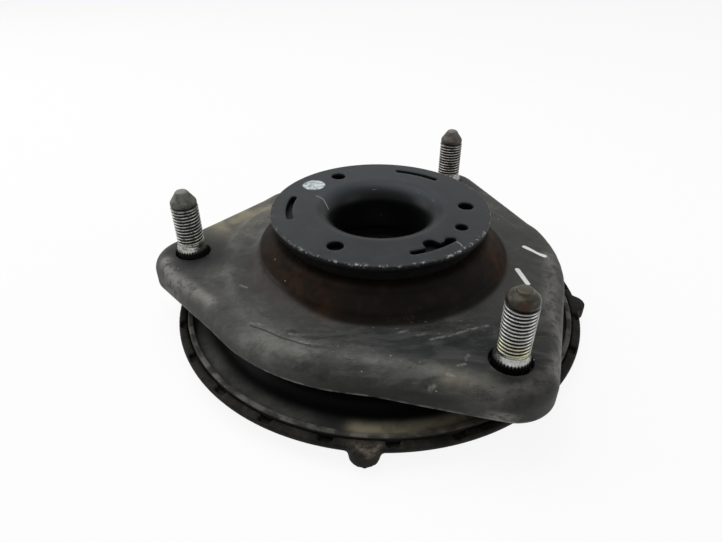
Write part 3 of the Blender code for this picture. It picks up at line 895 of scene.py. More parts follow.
# %% Studs
stud_low, stud_high = heights("stud_1")
stud_columns = 136
head_radius = 0.0080
head_top = lower_top - lower_sheet - fit_gap
head_section = (
    (head_radius - 0.0004, head_top), (head_radius, head_top - 0.0004),
    (head_radius, stud_low + 0.0006), (head_radius - 0.0006, stud_low), (0.0, stud_low),
)
flat_tip = (
    (0.0, 0.0), (0.0019, 0.0), (0.0022, 0.0001), (0.0023, 0.0003), (0.0023, 0.0007),
    (0.0025, 0.0010), (0.0031, 0.0012), (0.0038, 0.0016), (0.0044, 0.0022), (0.0047, 0.0029),
    (0.0048, 0.0036), (0.0048, 0.0040), (0.0044, 0.0041), (0.0039, 0.0042), (0.0039, 0.0048),
    (0.0044, 0.0050), (0.00495, 0.0052),
)
cone_tip = (
    (0.0, 0.0), (0.0015, 0.0), (0.0020, 0.0002), (0.0024, 0.0006), (0.0028, 0.0013),
    (0.0035, 0.0023), (0.0042, 0.0033), (0.0046, 0.0039), (0.00475, 0.0044), (0.00475, 0.0053),
    (0.0045, 0.0055), (0.0043, 0.0056), (0.0043, 0.0060), (0.0046, 0.0062), (0.00495, 0.0064),
)
tips = (cone_tip, cone_tip, flat_tip)


def make_stud(number, place, tip):
    """Rings from the tip down; tip is a list of (radius, height below the stud's end)."""
    turns = np.linspace(0.0, 2 * np.pi, stud_columns, endpoint=False)
    thread_top = stud_high - tip[-1][1] - 0.0001
    threaded = []
    for height in np.arange(thread_top, head_top + 0.0006, -pitch / 11):
        radius = stud_radius(height, turns, thread_top)
        ring = [radius * np.cos(turns), radius * np.sin(turns), height + 0 * turns]
        threaded.append(np.stack(ring, axis=-1))
    top = ring_rows([(radius, stud_high - drop) for radius, drop in tip], stud_columns)
    head = ring_rows(head_section, stud_columns)
    skin = Skin()
    skin.rows(np.concatenate([top, threaded, head]) + np.array((*place, 0.0)))
    stud = skin.made(f"stud_skin_{number}")
    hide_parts(f"stud_{number}")
    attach(stud, "mount")
    return stud


studs = [make_stud(i + 1, place, tips[i]) for i, place in enumerate(stud_places)]

# %% [markdown]
# ## Finishes
# Every finish starts from the same shader and adds what years on a car have done to it: dust that
# settled, rust that shows through, scratches. Broad patches are painted on the points of a piece,
# where they can follow its shape. Fine grain comes from noise textures inside the material, and
# crisp marks, such as a scratch, are drawn there from their distance to a line. A painted image
# could hold all three, but it would be blurred close up and would need unwrapped meshes.

# %% Paint broad patches on the points of a piece
def places(piece):
    flat = np.empty(len(piece.data.vertices) * 3)
    piece.data.vertices.foreach_get("co", flat)
    return flat.reshape(-1, 3).T


def patches(piece, **shares):
    """Stores layers of numbers from 0 to 1 on the points, for the material to read by name."""
    for name, share in shares.items():
        values = np.clip(np.zeros(len(piece.data.vertices)) + share, 0.0, 1.0)
        layer = piece.data.attributes.new(name, "FLOAT", "POINT")
        layer.data.foreach_set("value", values.astype(np.float32))


# %% A small builder for materials
class Finish:
    """One material; its color is built up layer by layer with cover, and done ends it."""

    def __init__(self, name, specular=0.5, metallic=0.0):
        self.material = bpy.data.materials.new(name)
        self.material.use_nodes = True
        self.nodes = self.material.node_tree.nodes
        self.links = self.material.node_tree.links
        self.shader = self.nodes["Principled BSDF"]
        self.shader.inputs["Specular IOR Level"].default_value = specular
        self.shader.inputs["Metallic"].default_value = metallic
        self.place = self.nodes.new("ShaderNodeTexCoord").outputs["Object"]
        self.flat = self.vector("MULTIPLY", self.place, (1.0, 1.0, 0.0))
        self.color = self.normal = None

    def node(self, kind, wires, **settings):
        made = self.nodes.new("ShaderNode" + kind)
        for key, value in settings.items():
            setattr(made, key, value)
        for key, value in wires.items():
            self.wire(value, made.inputs[key])
        return made

    def wire(self, value, socket):
        if isinstance(value, bpy.types.NodeSocket):
            self.links.new(value, socket)
        elif socket.type == "RGBA":
            socket.default_value = (*value, 1.0)
        else:
            socket.default_value = value

    def vector(self, operation, first, second):
        made = self.node("VectorMath", {0: first, 1: second}, operation=operation)
        return made.outputs["Value" if operation in ("DISTANCE", "DOT_PRODUCT") else "Vector"]

    def math(self, operation, first, others, clamp=False):
        for other in others:
            made = self.node("Math", {0: first, 1: other}, operation=operation, use_clamp=clamp)
            first = made.outputs[0]
        return first

    def times(self, first, *others):
        return self.math("MULTIPLY", first, others)

    def most(self, first, *others):
        return self.math("MAXIMUM", first, others)

    def ramp(self, value, low, high, start=0.0, end=1.0):
        """Eases from start to end while the value goes from low to high."""
        wires = {"Value": value, "From Min": low, "From Max": high, "To Min": start, "To Max": end}
        return self.node("MapRange", wires, interpolation_type="SMOOTHSTEP").outputs[0]

    def grain(self, size, detail=4.0, stretch=(1.0, 1.0, 1.0), rough=0.55, twist=0.0):
        """Noise whose blotches are about as large as size, in metres."""
        spot = self.node("Mapping", {"Vector": self.place, "Scale": stretch}).outputs[0]
        wires = {"Vector": spot, "Scale": 1.0 / size, "Detail": detail, "Roughness": rough}
        return self.node("TexNoise", {**wires, "Distortion": twist}).outputs[0]

    def blotches(self, size, low, high, start=0.0, end=1.0, detail=5.0, **noise):
        """Noise made crisper: start below the low mark, end above the high one."""
        return self.ramp(self.grain(size, detail, **noise), low, high, start, end)

    def specks(self, size, reach, share):
        """Small round specks, one in some of the cells of the given size."""
        cells = self.node("TexVoronoi", {"Vector": self.place, "Scale": 1.0 / size})
        tone = self.node("SeparateColor", {0: cells.outputs["Color"]}).outputs[0]
        dot = self.ramp(cells.outputs["Distance"], reach, reach * 0.5)
        return self.times(dot, self.ramp(tone, share, share - 0.02))

    def patch(self, name):
        return self.node("Attribute", {}, attribute_name=name).outputs["Fac"]

    def blend(self, share, first, second):
        made = self.node("Mix", {}, data_type="RGBA", clamp_factor=True)
        for key, value in ((0, share), (6, first), (7, second)):
            self.wire(value, made.inputs[key])
        return made.outputs[2]

    def cover(self, share, tone):
        """Lays a tone over the color so far, as thick as the share says."""
        self.color = self.blend(share, self.color, tone)

    def spot(self, x, y, radius, soft):
        return self.ramp(self.vector("DISTANCE", self.flat, (x, y, 0.0)), radius, radius - soft)

    def stroke(self, line, width, soft=0.0003):
        """A painted or scratched line through (x, y) places, seen from above."""
        parts = []
        for start, end in zip(line[:-1], line[1:]):
            run = Vector((*end, 0.0)) - Vector((*start, 0.0))
            off = self.vector("SUBTRACT", self.flat, (*start, 0.0))
            along = self.vector("DOT_PRODUCT", off, tuple(run))
            share = self.math("MULTIPLY", along, (1.0 / run.length_squared,), clamp=True)
            foot = self.node("VectorMath", {0: tuple(run), "Scale": share}, operation="SCALE")
            away = self.vector("DISTANCE", off, foot.outputs[0])
            parts.append(self.ramp(away, width / 2 + soft, max(width / 2 - soft, 0.0)))
        return self.most(*parts)

    def bump(self, height, depth):
        wires = {"Height": height, "Distance": depth}
        if self.normal:
            wires["Normal"] = self.normal
        self.normal = self.node("Bump", wires).outputs[0]

    def done(self, roughness):
        self.wire(self.color, self.shader.inputs["Base Color"])
        self.wire(roughness, self.shader.inputs["Roughness"])
        if self.normal:
            self.links.new(self.normal, self.shader.inputs["Normal"])
        print(f"{self.material.name}: {len(self.nodes)} nodes")
        return self.material


def coat(piece, finish):
    piece.data.materials.clear()
    piece.data.materials.append(finish)


# %% [markdown]
# ### The plate's coat
# The plate was dipped in black paint. Dust lies on everything that faces up, thickest on the
# border's shoulder and least where the car's body covered the plate round the studs; along the
# front shoulder the dust carries a painted highlight. The dome's wall is brown-black, its grime
# deepened by painted shade under the disc's overhang, with some rust. Beige road dust lies at the
# back left.
# Each of these places is a line or an area with soft edges, read off the real one.

# %% Lines and places of the plate's wear, and of a painted highlight
left_ridge = (
    (-0.0812, -0.0060), (-0.0800, -0.0100), (-0.0746, -0.0172),
    (-0.0676, -0.0235), (-0.0610, -0.0295), (-0.0579, -0.0329),
)
front_band = (
    (-0.0420, -0.0520), (-0.0263, -0.0567), (-0.0112, -0.0600),
    (0.0035, -0.0623), (0.0173, -0.0678), (0.0276, -0.0730),
)
left_edge = (
    (-0.0574, 0.0109), (-0.0569, -0.0006), (-0.0544, -0.0178),
    (-0.0503, -0.0327), (-0.0472, -0.0393), (-0.0438, -0.0460),
)
nose_ridge = (
    (0.0222, -0.0724), (0.0302, -0.0744), (0.0390, -0.0727), (0.0461, -0.0677), (0.0522, -0.0595),
)
nose_foot = ((0.0297, -0.0752), (0.0324, -0.0762), (0.0348, -0.0748), (0.0378, -0.0716))
hole_arc = ((0.0300, -0.0655), (0.0338, -0.0680), (0.0372, -0.0686), (0.0419, -0.0669))
beige_place = ((-0.0642, 0.0228), (-0.0589, 0.0290), (-0.0503, 0.0355), (-0.0430, 0.0400))
beige_dab = ((0.0173, -0.0690), (0.0250, -0.0705))
blue_place = ((-0.0020, -0.0519), (0.0038, -0.0566), (0.0155, -0.0590), (0.0300, -0.0560))
blue_dab = ((-0.0700, 0.0050), (-0.0690, -0.0080))
grit_place = ((0.0060, -0.0505), (0.0167, -0.0505), (0.0230, -0.0470))
right_rust = ((0.0395, -0.0200), (0.0425, -0.0100), (0.0415, -0.0030))
left_rust = ((-0.0440, -0.0120), (-0.0380, -0.0250), (-0.0200, -0.0400))

# %% How thick the dust lies on the plate, with a painted highlight on the front shoulder
def dust_on_plate(x, y, z):
    away = [np.hypot(x - px, y - py) for px, py in stud_places]
    clean = np.clip(sum(np.exp(-(one / 0.0150) ** 4) for one in away), 0.0, 1.0)
    clean = np.maximum(clean, 0.60 * near(x, y, blue_place, 0.0056))
    left = eased((-x - 0.005) / 0.045)
    back = eased((y + 0.02) / 0.06)
    right = eased((x - 0.035) / 0.02) * eased((y + 0.045) / 0.02)
    side = eased((-z - 0.0020) / 0.0024)
    dust = 0.18 + 0.24 * left + 0.15 * back + 0.08 * right
    dust = dust * (1 - 0.72 * clean * (1 - 0.8 * side))
    # Along the front shoulder: dust, and a painted highlight where the crest would catch the light.
    dust = dust + 0.56 * near(x, y, front_band, 0.0036) + 0.20 * near(x, y, left_edge, 0.0022)
    dust = dust + 0.26 * near(x, y, hole_arc, 0.0010)
    nose = np.exp(-(away[2] / 0.0190) ** 4)
    return dust * (1 - 0.24 * side) + 0.10 * nose * side


# %% The plate's patches
x, y, z = places(plate_skin)
wall_edge = dome_foot_radius - 0.0010 - 0.0030 * eased((-x - 0.010) / 0.030)
wall = eased((wall_edge - np.hypot(x, y)) / 0.0018) * eased((z + 0.0005) / 0.0008)
above_foot = z + skirt_depth + nose_drop * nose_share(x, y)
low_down = eased((-z - 0.006) / 0.002)
chalk = near(x, y, left_ridge, 0.0020) + 0.55 * near(x, y, right_ridge, 0.0026)
chalk = chalk + 0.30 * near(x, y, nose_ridge, 0.0022)
chalk = chalk + 1.3 * near(x, y, nose_foot, 0.0022) * low_down
grit = near(x, y, grit_place, 0.0042) + 0.7 * near(x, y, front_band, 0.0035)
grit = grit + 0.8 * near(x, y, right_ridge, 0.0034) + 1.4 * near(x, y, nose_foot, 0.0030) * low_down
patches(
    plate_skin,
    dust=dust_on_plate(x, y, z) * (1 - 0.96 * wall),
    wall=wall,
    chalk=chalk,
    front=eased((-y - 0.036) / 0.012) * eased((z + 0.004) / 0.002),
    blue=near(x, y, blue_place, 0.0080) + 0.8 * near(x, y, blue_dab, 0.0085),
    beige=near(x, y, beige_place, 0.0090) + 0.45 * near(x, y, beige_dab, 0.0030),
    rust=near(x, y, right_rust, 0.0045) + 0.6 * near(x, y, left_rust, 0.0060),
    edge=eased((0.0013 - above_foot) / 0.0010),
    grit=grit,
)

# %% Paint under dust
ink = (0.0150, 0.0155, 0.0152)
dust_tone = (0.150, 0.149, 0.138)


def dusty_coat(name, specular=0.07):
    """A black coat under dust that follows the painted patches, broken up by noise."""
    made = Finish(name, specular=specular)
    made.dust = made.times(
        made.patch("dust"),
        made.blotches(0.026, 0.30, 0.70, 0.66, 1.34, detail=3.0, twist=0.8),
        made.blotches(0.0075, 0.30, 0.70, 0.74, 1.26, rough=0.6, twist=0.5),
        made.blotches(0.0016, 0.28, 0.74, 0.82, 1.20, rough=0.65),
    )
    made.color = made.blend(made.dust, ink, dust_tone)
    return made


# %% Streaks, chalk, grime with painted shade on the dome's wall, and rust on the plate
blue_ink = (0.0165, 0.0200, 0.0230)
streak_ink = (0.0085, 0.0092, 0.0100)
chalk_tone = (0.215, 0.205, 0.190)
beige_tone = (0.300, 0.275, 0.195)
brown_tone = (0.0042, 0.0030, 0.0020)
pale_brown = (0.0090, 0.0066, 0.0046)
rust_tone = (0.034, 0.015, 0.0065)
black = dusty_coat("plate_coat")
front = black.patch("front")
black.cover(black.times(black.patch("blue"), 0.55), blue_ink)
streaks = black.blotches(
    0.0050, 0.46, 0.62, detail=6.0, stretch=(0.34, 1.0, 1.0), rough=0.62, twist=0.3)
black.cover(black.times(streaks, front, 0.22), dust_tone)
dark_streaks = black.blotches(
    0.0062, 0.50, 0.64, detail=6.0, stretch=(0.36, 1.0, 1.0), rough=0.60, twist=0.4)
black.cover(black.times(dark_streaks, front, 0.50), streak_ink)
crumbs = black.blotches(0.0036, 0.38, 0.56, 0.15, 0.95, detail=6.0, rough=0.68)
black.cover(black.times(black.patch("chalk"), crumbs), chalk_tone)
beige = black.blotches(0.014, 0.34, 0.64, 0.12, 0.72, rough=0.5, twist=0.5)
black.cover(black.times(black.patch("beige"), beige), beige_tone)
# The dome's wall: brown grime, and painted shade under the disc's overhang.
grime = black.blend(black.blotches(0.0060, 0.42, 0.68, twist=0.6), brown_tone, pale_brown)
black.cover(black.times(black.patch("wall"), 0.98), grime)
rust = black.blotches(0.005, 0.40, 0.62, 0.15, 0.80, detail=6.0)
black.cover(black.times(black.patch("rust"), rust), rust_tone)

# %% Scratches, knocks and bare metal on the plate, and painted shade in the crease
metal_tone = (0.30, 0.30, 0.28)
marks = (
    (((0.0165, -0.0680), (0.0182, -0.0686)), 0.0013),
    (((0.0112, -0.0716), (0.0126, -0.0712)), 0.0010),
    (((0.0238, -0.0602), (0.0228, -0.0622)), 0.0007),
    (((0.0198, -0.0647), (0.0222, -0.0640)), 0.0006),
    (((0.0040, -0.0507), (0.0072, -0.0500)), 0.0008),
    (((0.0095, -0.0522), (0.0118, -0.0515)), 0.0007),
    (((-0.0263, -0.0545), (-0.0235, -0.0556)), 0.0010),
    (((-0.0300, -0.0508), (-0.0275, -0.0515)), 0.0007),
    (((-0.0430, -0.0452), (-0.0398, -0.0462)), 0.0006),
    (((-0.0496, -0.0247), (-0.0470, -0.0262)), 0.0006),
    (((0.0132, -0.0542), (0.0196, -0.0525), (0.0263, -0.0497), (0.0323, -0.0479)), 0.0006),
)
scuffs = black.times(
    black.most(
        black.blotches(0.0009, 0.70, 0.78, detail=2.0, stretch=(0.10, 1.0, 1.0), twist=0.4),
        black.blotches(0.0010, 0.71, 0.79, detail=2.0, stretch=(1.0, 0.12, 1.0), twist=0.5),
    ),
    black.blotches(0.018, 0.48, 0.70, 0.0, 0.6, detail=3.0),
    black.ramp(black.patch("wall"), 0.1, 0.6, 1.0, 0.10),
)
knocks = [black.times(black.stroke(line, width, 0.0005), 0.42) for line, width in marks]
crust = black.blotches(0.0012, 0.36, 0.58, rough=0.7)
grit = black.blotches(0.0011, 0.60, 0.68, 0.0, 0.55, detail=4.0, stretch=(0.5, 1.0, 1.0), rough=0.7)
bare = black.most(
    black.times(black.most(scuffs, *knocks), crust),
    black.times(black.specks(0.0042, 0.085, 0.30), 0.75),
    black.times(black.patch("edge"), black.blotches(0.0040, 0.38, 0.62, 0.0, 0.62)),
    black.times(black.patch("grit"), grit),
)
black.cover(bare, metal_tone)
# Painted shade: a near black line along the crease, as if shade lay in the fold.
black.cover(black.times(black.stroke(crease, 0.0005), 0.75), (0.006, 0.006, 0.006))

# %% Two strokes of white paint, and the feel of the surface
white_tone = (0.78, 0.78, 0.76)
strokes = (
    (((0.0564, -0.0006), (0.0621, -0.0079)), 0.0017),
    (((0.0496, -0.0165), (0.0509, -0.0253)), 0.0018),
)
paint = black.most(*(black.stroke(line, width, 0.00018) for line, width in strokes))
thin = black.blotches(0.0011, 0.22, 0.34, 0.45, 1.0, detail=4.0)
black.cover(black.times(paint, thin), white_tone)
black.bump(black.grain(0.0006, 3.0), 0.00003)
black.bump(black.grain(0.0060, 4.0, rough=0.5), 0.00026)
black.bump(black.times(streaks, front), 0.00005)
dull_wall = black.times(black.patch("wall"), 0.72)
coat(plate_skin, black.done(black.most(black.ramp(black.dust, 0.0, 0.5, 0.36, 0.75), dull_wall)))

# %% [markdown]
# ### Lower plate, core and seat: the same coat, each with its own dust
# The other black steel pieces share the dusty coat. Only the patches differ: the dish has caught
# road dust in its channel, its rim is rubbed bright, and what faces down stays almost clean. Under
# the plate's edge the dish is painted near black: painted shade.

# %% Coat of the lower plate and the core
for piece in (under_plate_skin, core_skin):
    x, y, z = places(piece)
    patches(piece, dust=0.10 + 0.05 * np.sin(x * 90) * np.sin(y * 80))
hidden = dusty_coat("hidden_coat")
hidden.cover(hidden.blotches(0.0030, 0.60, 0.72, 0.0, 0.7, detail=6.0), (0.030, 0.017, 0.010))
hidden.bump(hidden.grain(0.0007, 3.0), 0.00003)
hidden_finish = hidden.done(hidden.ramp(hidden.dust, 0.0, 0.4, 0.45, 0.75))
coat(under_plate_skin, hidden_finish)
coat(core_skin, hidden_finish)

# %% Coat of the spring seat, with painted shade under the plate
x, y, z = places(seat_skin)
radius = np.hypot(x, y)
turn = np.degrees(np.arctan2(y, x))
upper = eased((z - (channel_top - 0.0015)) / 0.0010)
channel = np.exp(-((radius - 0.0702) / 0.0026) ** 2) * upper
left_side = eased((-x - 0.02) / 0.04)
patches(
    seat_skin,
    dust=(0.05 + 0.20 * channel * (1 + left_side)) * (0.35 + 0.65 * upper),
    beige=channel * eased((turn + 102.0) / 5.0) * eased((-62.0 - turn) / 8.0),
    edge=eased((z - rim_top + 0.0004) / 0.0003) * eased((radius - 0.0725) / 0.0005),
    # painted shade: the dish inside the plate's edge is coloured near black, as if in shadow
    gloom=eased((0.0680 - radius) / 0.0026),
)
dish = dusty_coat("seat_coat", 0.05)
beige = dish.times(dish.patch("beige"), dish.blotches(0.0060, 0.26, 0.56, 0.50, 1.0))
rubbed = dish.times(dish.patch("edge"), dish.blotches(0.0050, 0.40, 0.62, 0.05, 0.55, detail=4.0))
dish.cover(beige, (0.360, 0.325, 0.225))
# Painted shade: the dish under the plate's edge is covered near black.
dish.cover(dish.times(dish.patch("gloom"), 0.90), (0.0032, 0.0035, 0.0035))
dish.cover(rubbed, (0.20, 0.19, 0.17))
dish.cover(dish.times(dish.specks(0.0050, 0.09, 0.30), 0.5), (0.24, 0.23, 0.20))
dish.bump(dish.grain(0.0008, 3.0), 0.00003)
dish.bump(dish.grain(0.0070, 4.0), 0.00015)
coat(seat_skin, dish.done(dish.ramp(dish.dust, 0.0, 0.5, 0.40, 0.75)))

# %% [markdown]
# ### The disc's coat
# The disc has a smoother, satin black coat. Handling has chipped it along the rim, where specks of
# bare metal catch the light, and a fitter left one dab of white paint near the back left hole. Its
# side, underside and the throat of its neck are painted near black as shade, the back of the bowl
# carries a painted sheen, and the top is painted lighter towards the left: dust, and painted light.

# %% Where the disc is chipped and dusty, and where shade and sheen are painted on it
x, y, z = places(disc_skin)
radius = np.hypot(x, y)
turn = np.degrees(np.arctan2(y, x))
top_edge = eased((radius - edge_radius + 0.0003) / 0.0003) * eased((z - disc_top + 0.0006) / 0.0003)
on_top = eased((z - disc_top + 0.0005) / 0.0004)
# A painted sheen: the back of the bowl is made lighter and bluish, as where it catches the light.
bowl = np.exp(-((radius - roll_radius + 0.0030) / 0.0026) ** 2) * eased((y + 0.004) / 0.014)
# Dust, and painted light: the top is made lighter towards the left and the back, where light falls.
film = 0.09 + 0.04 * eased((radius - roll_radius) / 0.010) + 0.09 * eased((-x + 0.3 * y) / 0.03)
inner = eased((roll_radius - 0.0030 - radius) / 0.0040)
patches(
    disc_skin,
    edge=top_edge,
    handled=top_edge * (0.15 + 0.85 * np.exp(-((turn + 80.0) / 60.0) ** 2)),
    dust=film * on_top,
    bowl=bowl * eased((z - disc_top + 0.0045) / 0.0020),
    # under: painted shade, the disc's side and underside coloured near black
    under=(1 - on_top) * (1 - 0.9 * bowl),
    # painted shade: deep in the neck's throat the disc is coloured near black
    throat=inner * eased((disc_top - 0.0030 - z) / 0.0050),
)

# %% The disc's material
satin = Finish("disc_coat", specular=0.10)
satin.dust = satin.times(
    satin.patch("dust"),
    satin.blotches(0.011, 0.30, 0.72, 0.55, 1.40, twist=0.7),
    satin.blotches(0.0016, 0.30, 0.72, 0.80, 1.20),
)
satin.color = satin.blend(satin.dust, (0.0118, 0.0138, 0.0158), (0.118, 0.126, 0.134))
# Painted shade on the side, underside and throat, a painted sheen in the bowl, a darker rim edge.
for name, share, tone in (
    ("under", 1.0, (0.0032, 0.0032, 0.0032)),
    ("throat", 1.0, (0.0035, 0.0036, 0.0040)),
    ("bowl", 0.30, (0.085, 0.100, 0.112)),
    ("edge", 0.5, (0.0050, 0.0052, 0.0055)),
):
    satin.cover(satin.times(satin.patch(name), share), tone)
chips = satin.blotches(0.0016, 0.52, 0.62, 0.05, 0.95, rough=0.7)
long_scratch = ((-0.0240, 0.0094), (-0.0212, 0.0072), (-0.0192, 0.0030))
short_scratch = ((0.0243, -0.0258), (0.0252, -0.0272), (0.0255, -0.0286))
scratches = [satin.stroke(line, 0.0003, 0.0002) for line in (long_scratch, short_scratch)]
bare = satin.most(
    satin.times(satin.patch("handled"), chips),
    satin.blotches(0.0008, 0.74, 0.80, 0.0, 0.30, detail=2.0, stretch=(0.12, 1.0, 1.0), twist=0.3),
    satin.blotches(0.0009, 0.75, 0.80, 0.0, 0.25, detail=2.0, stretch=(1.0, 0.10, 1.0), twist=0.3),
    satin.times(satin.specks(0.0060, 0.055, 0.22), 0.7),
    satin.times(satin.most(*scratches), 0.55),
)
satin.cover(bare, (0.42, 0.42, 0.42))
height = satin.node("SeparateXYZ", {0: satin.place}).outputs[2]
dab = satin.times(
    satin.spot(-0.0255, 0.0191, 0.0046, 0.0003),
    satin.ramp(height, disc_top - 0.0002, disc_top - 0.00005),
    satin.blotches(0.0020, 0.40, 0.56, 0.42, 1.0),
)
satin.cover(dab, (0.56, 0.62, 0.63))
satin.bump(satin.grain(0.0005, 3.0), 0.00002)
coat(disc_skin, satin.done(satin.ramp(satin.dust, 0.0, 0.3, 0.36, 0.60)))

# %% [markdown]
# ### Rubber
# Moulded rubber is matt and black, and greys with age where it has dried. The bush is clean and
# still a little glossy at the lip under the disc; the pad is dusty, with dirt caked to its foot
# and a scuff on its front boss.

# %% Rubber of the bush and the pad
scuff = ((-0.0080, -0.0770), (-0.0050, -0.0790))
patches(bush_skin, dust=0.02)
x, y, z = places(pad_skin)
scuffed = near(x, y, scuff, 0.0030) * eased((z - lip_top + 0.0012) / 0.0008)
patches(pad_skin, dust=0.10 + 0.20 * eased((-0.0215 - z) / 0.004) + 0.9 * scuffed)


def rubber_finish(name, rough, specular):
    made = Finish(name, specular=specular)
    cloud = made.blotches(0.006, 0.36, 0.66, 0.20, 1.80, twist=0.6)
    crumbs = made.blotches(0.0014, 0.34, 0.70, 0.55, 1.45, detail=6.0, rough=0.65)
    dust = made.times(made.patch("dust"), cloud, crumbs)
    made.color = made.blend(dust, (0.0060, 0.0060, 0.0062), (0.105, 0.092, 0.070))
    made.bump(made.grain(0.0007), 0.00005)
    made.bump(made.grain(0.0040), 0.00035)
    return made.done(made.ramp(dust, 0.0, 0.4, rough, 0.85))


coat(bush_skin, rubber_finish("bush_rubber", 0.45, 0.10))
coat(pad_skin, rubber_finish("pad_rubber", 0.60, 0.06))

# %% [markdown]
# ### Zinc on the studs
# The studs are zinc plated with a yellow passivation. The roots of the thread are painted dark,
# for dirt and for painted shade, while the crests are rubbed bright. The knurl below the collar and
# the groove under the tip are painted black: grime, and painted shade in these recesses. Each stud
# has aged in its own way: the front one has a brown tip and a golden foot, the others are grey.

# %% Roots, tips, and grime with painted shade, of each stud
def stud_patches(stud, place, tip):
    thread_top = stud_high - tip[-1][1]
    x, y, z = places(stud)
    radius = np.hypot(x - place[0], y - place[1])
    on_thread = (z > cone_top) & (z < thread_top + 0.0002)
    depth = (thread_radius - radius) / thread_depth
    cone = thread_radius + (cone_top - z) * cone_slope
    flutes = np.where(z < cone_top, eased((cone - radius - 0.00004) / 0.00010), 0.0)
    above_thread = z - thread_top + 0.0002
    groove = eased(above_thread / 0.0001) * eased((0.0015 - above_thread) / 0.0002)
    # root and grime are dirt and painted shade: dark roots, black flutes and tip groove
    patches(
        stud,
        root=np.where(on_thread, depth * 2.3 - 0.10, 0.0),
        grime=np.maximum(flutes, groove * eased((0.0046 - radius) / 0.0003)),
        tip=eased(above_thread / 0.0006),
        disc=eased((0.0024 - radius) / 0.0002) * eased((z - stud_high + 0.0009) / 0.0003),
        foot=eased((0.0120 - z) / 0.0060) * eased((z - cone_top + 0.0002) / 0.0006),
    )


for stud, place, tip in zip(studs, stud_places, tips):
    stud_patches(stud, place, tip)

# %% The material of a stud
def toned(tone, *shares):
    """A tone made darker or lighter, by one share or by one for each of red, green and blue."""
    return tuple(part * share for part, share in zip(tone, shares * 3))


def zinc_finish(name, bright, root, tip, gold, tip_rough, bruised, ruddy):
    made = Finish(name, specular=0.2)
    tarnish = made.blotches(0.0035, 0.34, 0.70, twist=0.5)
    golden = made.times(made.patch("foot"), made.ramp(tarnish, 0.0, 1.0, 0.85, 0.35))
    made.color = made.blend(golden, bright, gold)
    made.cover(made.times(tarnish, 0.36), toned(bright, 0.35))
    grime = made.blotches(0.0006, 0.48, 0.66, 0.0, 0.7, detail=4.0, rough=0.7)
    made.cover(grime, toned(bright, 0.5))
    bruises = made.blotches(0.0017, 0.50, 0.62, 0.0, bruised, stretch=(1.0, 1.0, 2.5), rough=0.65)
    made.cover(bruises, toned(bright, 0.16))
    # Painted shade with dirt in the thread's roots.
    made.cover(made.patch("root"), root)
    tip_color = made.blend(made.blotches(0.0018, 0.40, 0.62), tip, toned(tip, 1.9))
    brown = made.blotches(0.0042, 0.52, 0.62, 0.0, ruddy, detail=3.0)
    made.cover(made.patch("tip"), made.blend(brown, tip_color, toned(tip, 2.0, 0.9, 0.8)))
    made.cover(made.times(made.patch("disc"), 0.8), toned(tip, 3.2))
    # Painted shade with grime in the knurl's flutes and the groove under the tip.
    made.cover(made.patch("grime"), (0.004, 0.004, 0.0035))
    dirt = made.most(made.patch("root"), made.patch("grime"), made.patch("tip"))
    made.wire(made.ramp(dirt, 0.2, 0.9, 1.0, 0.25), made.shader.inputs["Metallic"])
    made.bump(made.grain(0.0005), 0.00004)
    return made.done(made.ramp(dirt, 0.0, 1.0, 0.24, tip_rough))


# %% One finish for each stud: rear, left and front
coat(studs[0], zinc_finish(
    "zinc_rear", bright=(0.36, 0.35, 0.33), root=(0.020, 0.018, 0.016), tip=(0.052, 0.046, 0.041),
    gold=(0.42, 0.40, 0.35), tip_rough=0.55, bruised=0.75, ruddy=0.3,
))
coat(studs[1], zinc_finish(
    "zinc_left", bright=(0.42, 0.42, 0.39), root=(0.020, 0.020, 0.018), tip=(0.062, 0.062, 0.056),
    gold=(0.46, 0.45, 0.39), tip_rough=0.60, bruised=0.85, ruddy=0.0,
))
coat(studs[2], zinc_finish(
    "zinc_front", bright=(0.47, 0.47, 0.455), root=(0.012, 0.011, 0.009), tip=(0.020, 0.018, 0.012),
    gold=(0.50, 0.49, 0.27), tip_rough=0.34, bruised=0.35, ruddy=0.8,
))

# %% [markdown]
# ### What is inside
# The case, races, cage, balls and seals are hardly ever seen, but they turn up when the part is
# taken apart or seen from below, so each gets the finish of its real material.

# %% Plastic, seals and bearing steel
def moulded(name, size, dark, light, smooth, matt, grit, detail, depth):
    """Plastic or rubber with a cloudy tone and a fine grain."""
    made = Finish(name, specular=0.4)
    cloud = made.blotches(size, 0.30, 0.70, detail=4.0)
    made.color = made.blend(cloud, dark, light)
    made.bump(made.grain(grit, detail), depth)
    return made.done(made.ramp(cloud, 0.0, 1.0, smooth, matt))


coat(case_skin, moulded(
    "case_plastic", 0.010, (0.014, 0.014, 0.015), (0.030, 0.029, 0.027),
    0.38, 0.56, 0.0004, 2.0, 0.00003,
))
cage_finish = moulded(
    "cage_plastic", 0.004, (0.30, 0.26, 0.17), (0.40, 0.35, 0.24), 0.40, 0.55, 0.0005, 2.0, 0.00002,
)
seal_finish = moulded(
    "seal_rubber", 0.003, (0.008, 0.008, 0.008), (0.020, 0.019, 0.018),
    0.45, 0.65, 0.0005, 3.0, 0.00003,
)
steel = Finish("bearing_steel", metallic=1.0)
rings = steel.blotches(0.0006, 0.30, 0.70, detail=3.0, stretch=(1.0, 1.0, 6.0))
steel.bump(rings, 0.000004)
steel.color = steel.blend(rings, (0.50, 0.50, 0.49), (0.62, 0.62, 0.61))
steel_finish = steel.done(steel.ramp(rings, 0.0, 1.0, 0.16, 0.30))
for name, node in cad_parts.items():
    if name == "ball_cage":
        coat(node, cage_finish)
    elif name.endswith("_seal"):
        coat(node, seal_finish)
    elif name.startswith("ball_") or name.endswith("_race"):
        coat(node, steel_finish)

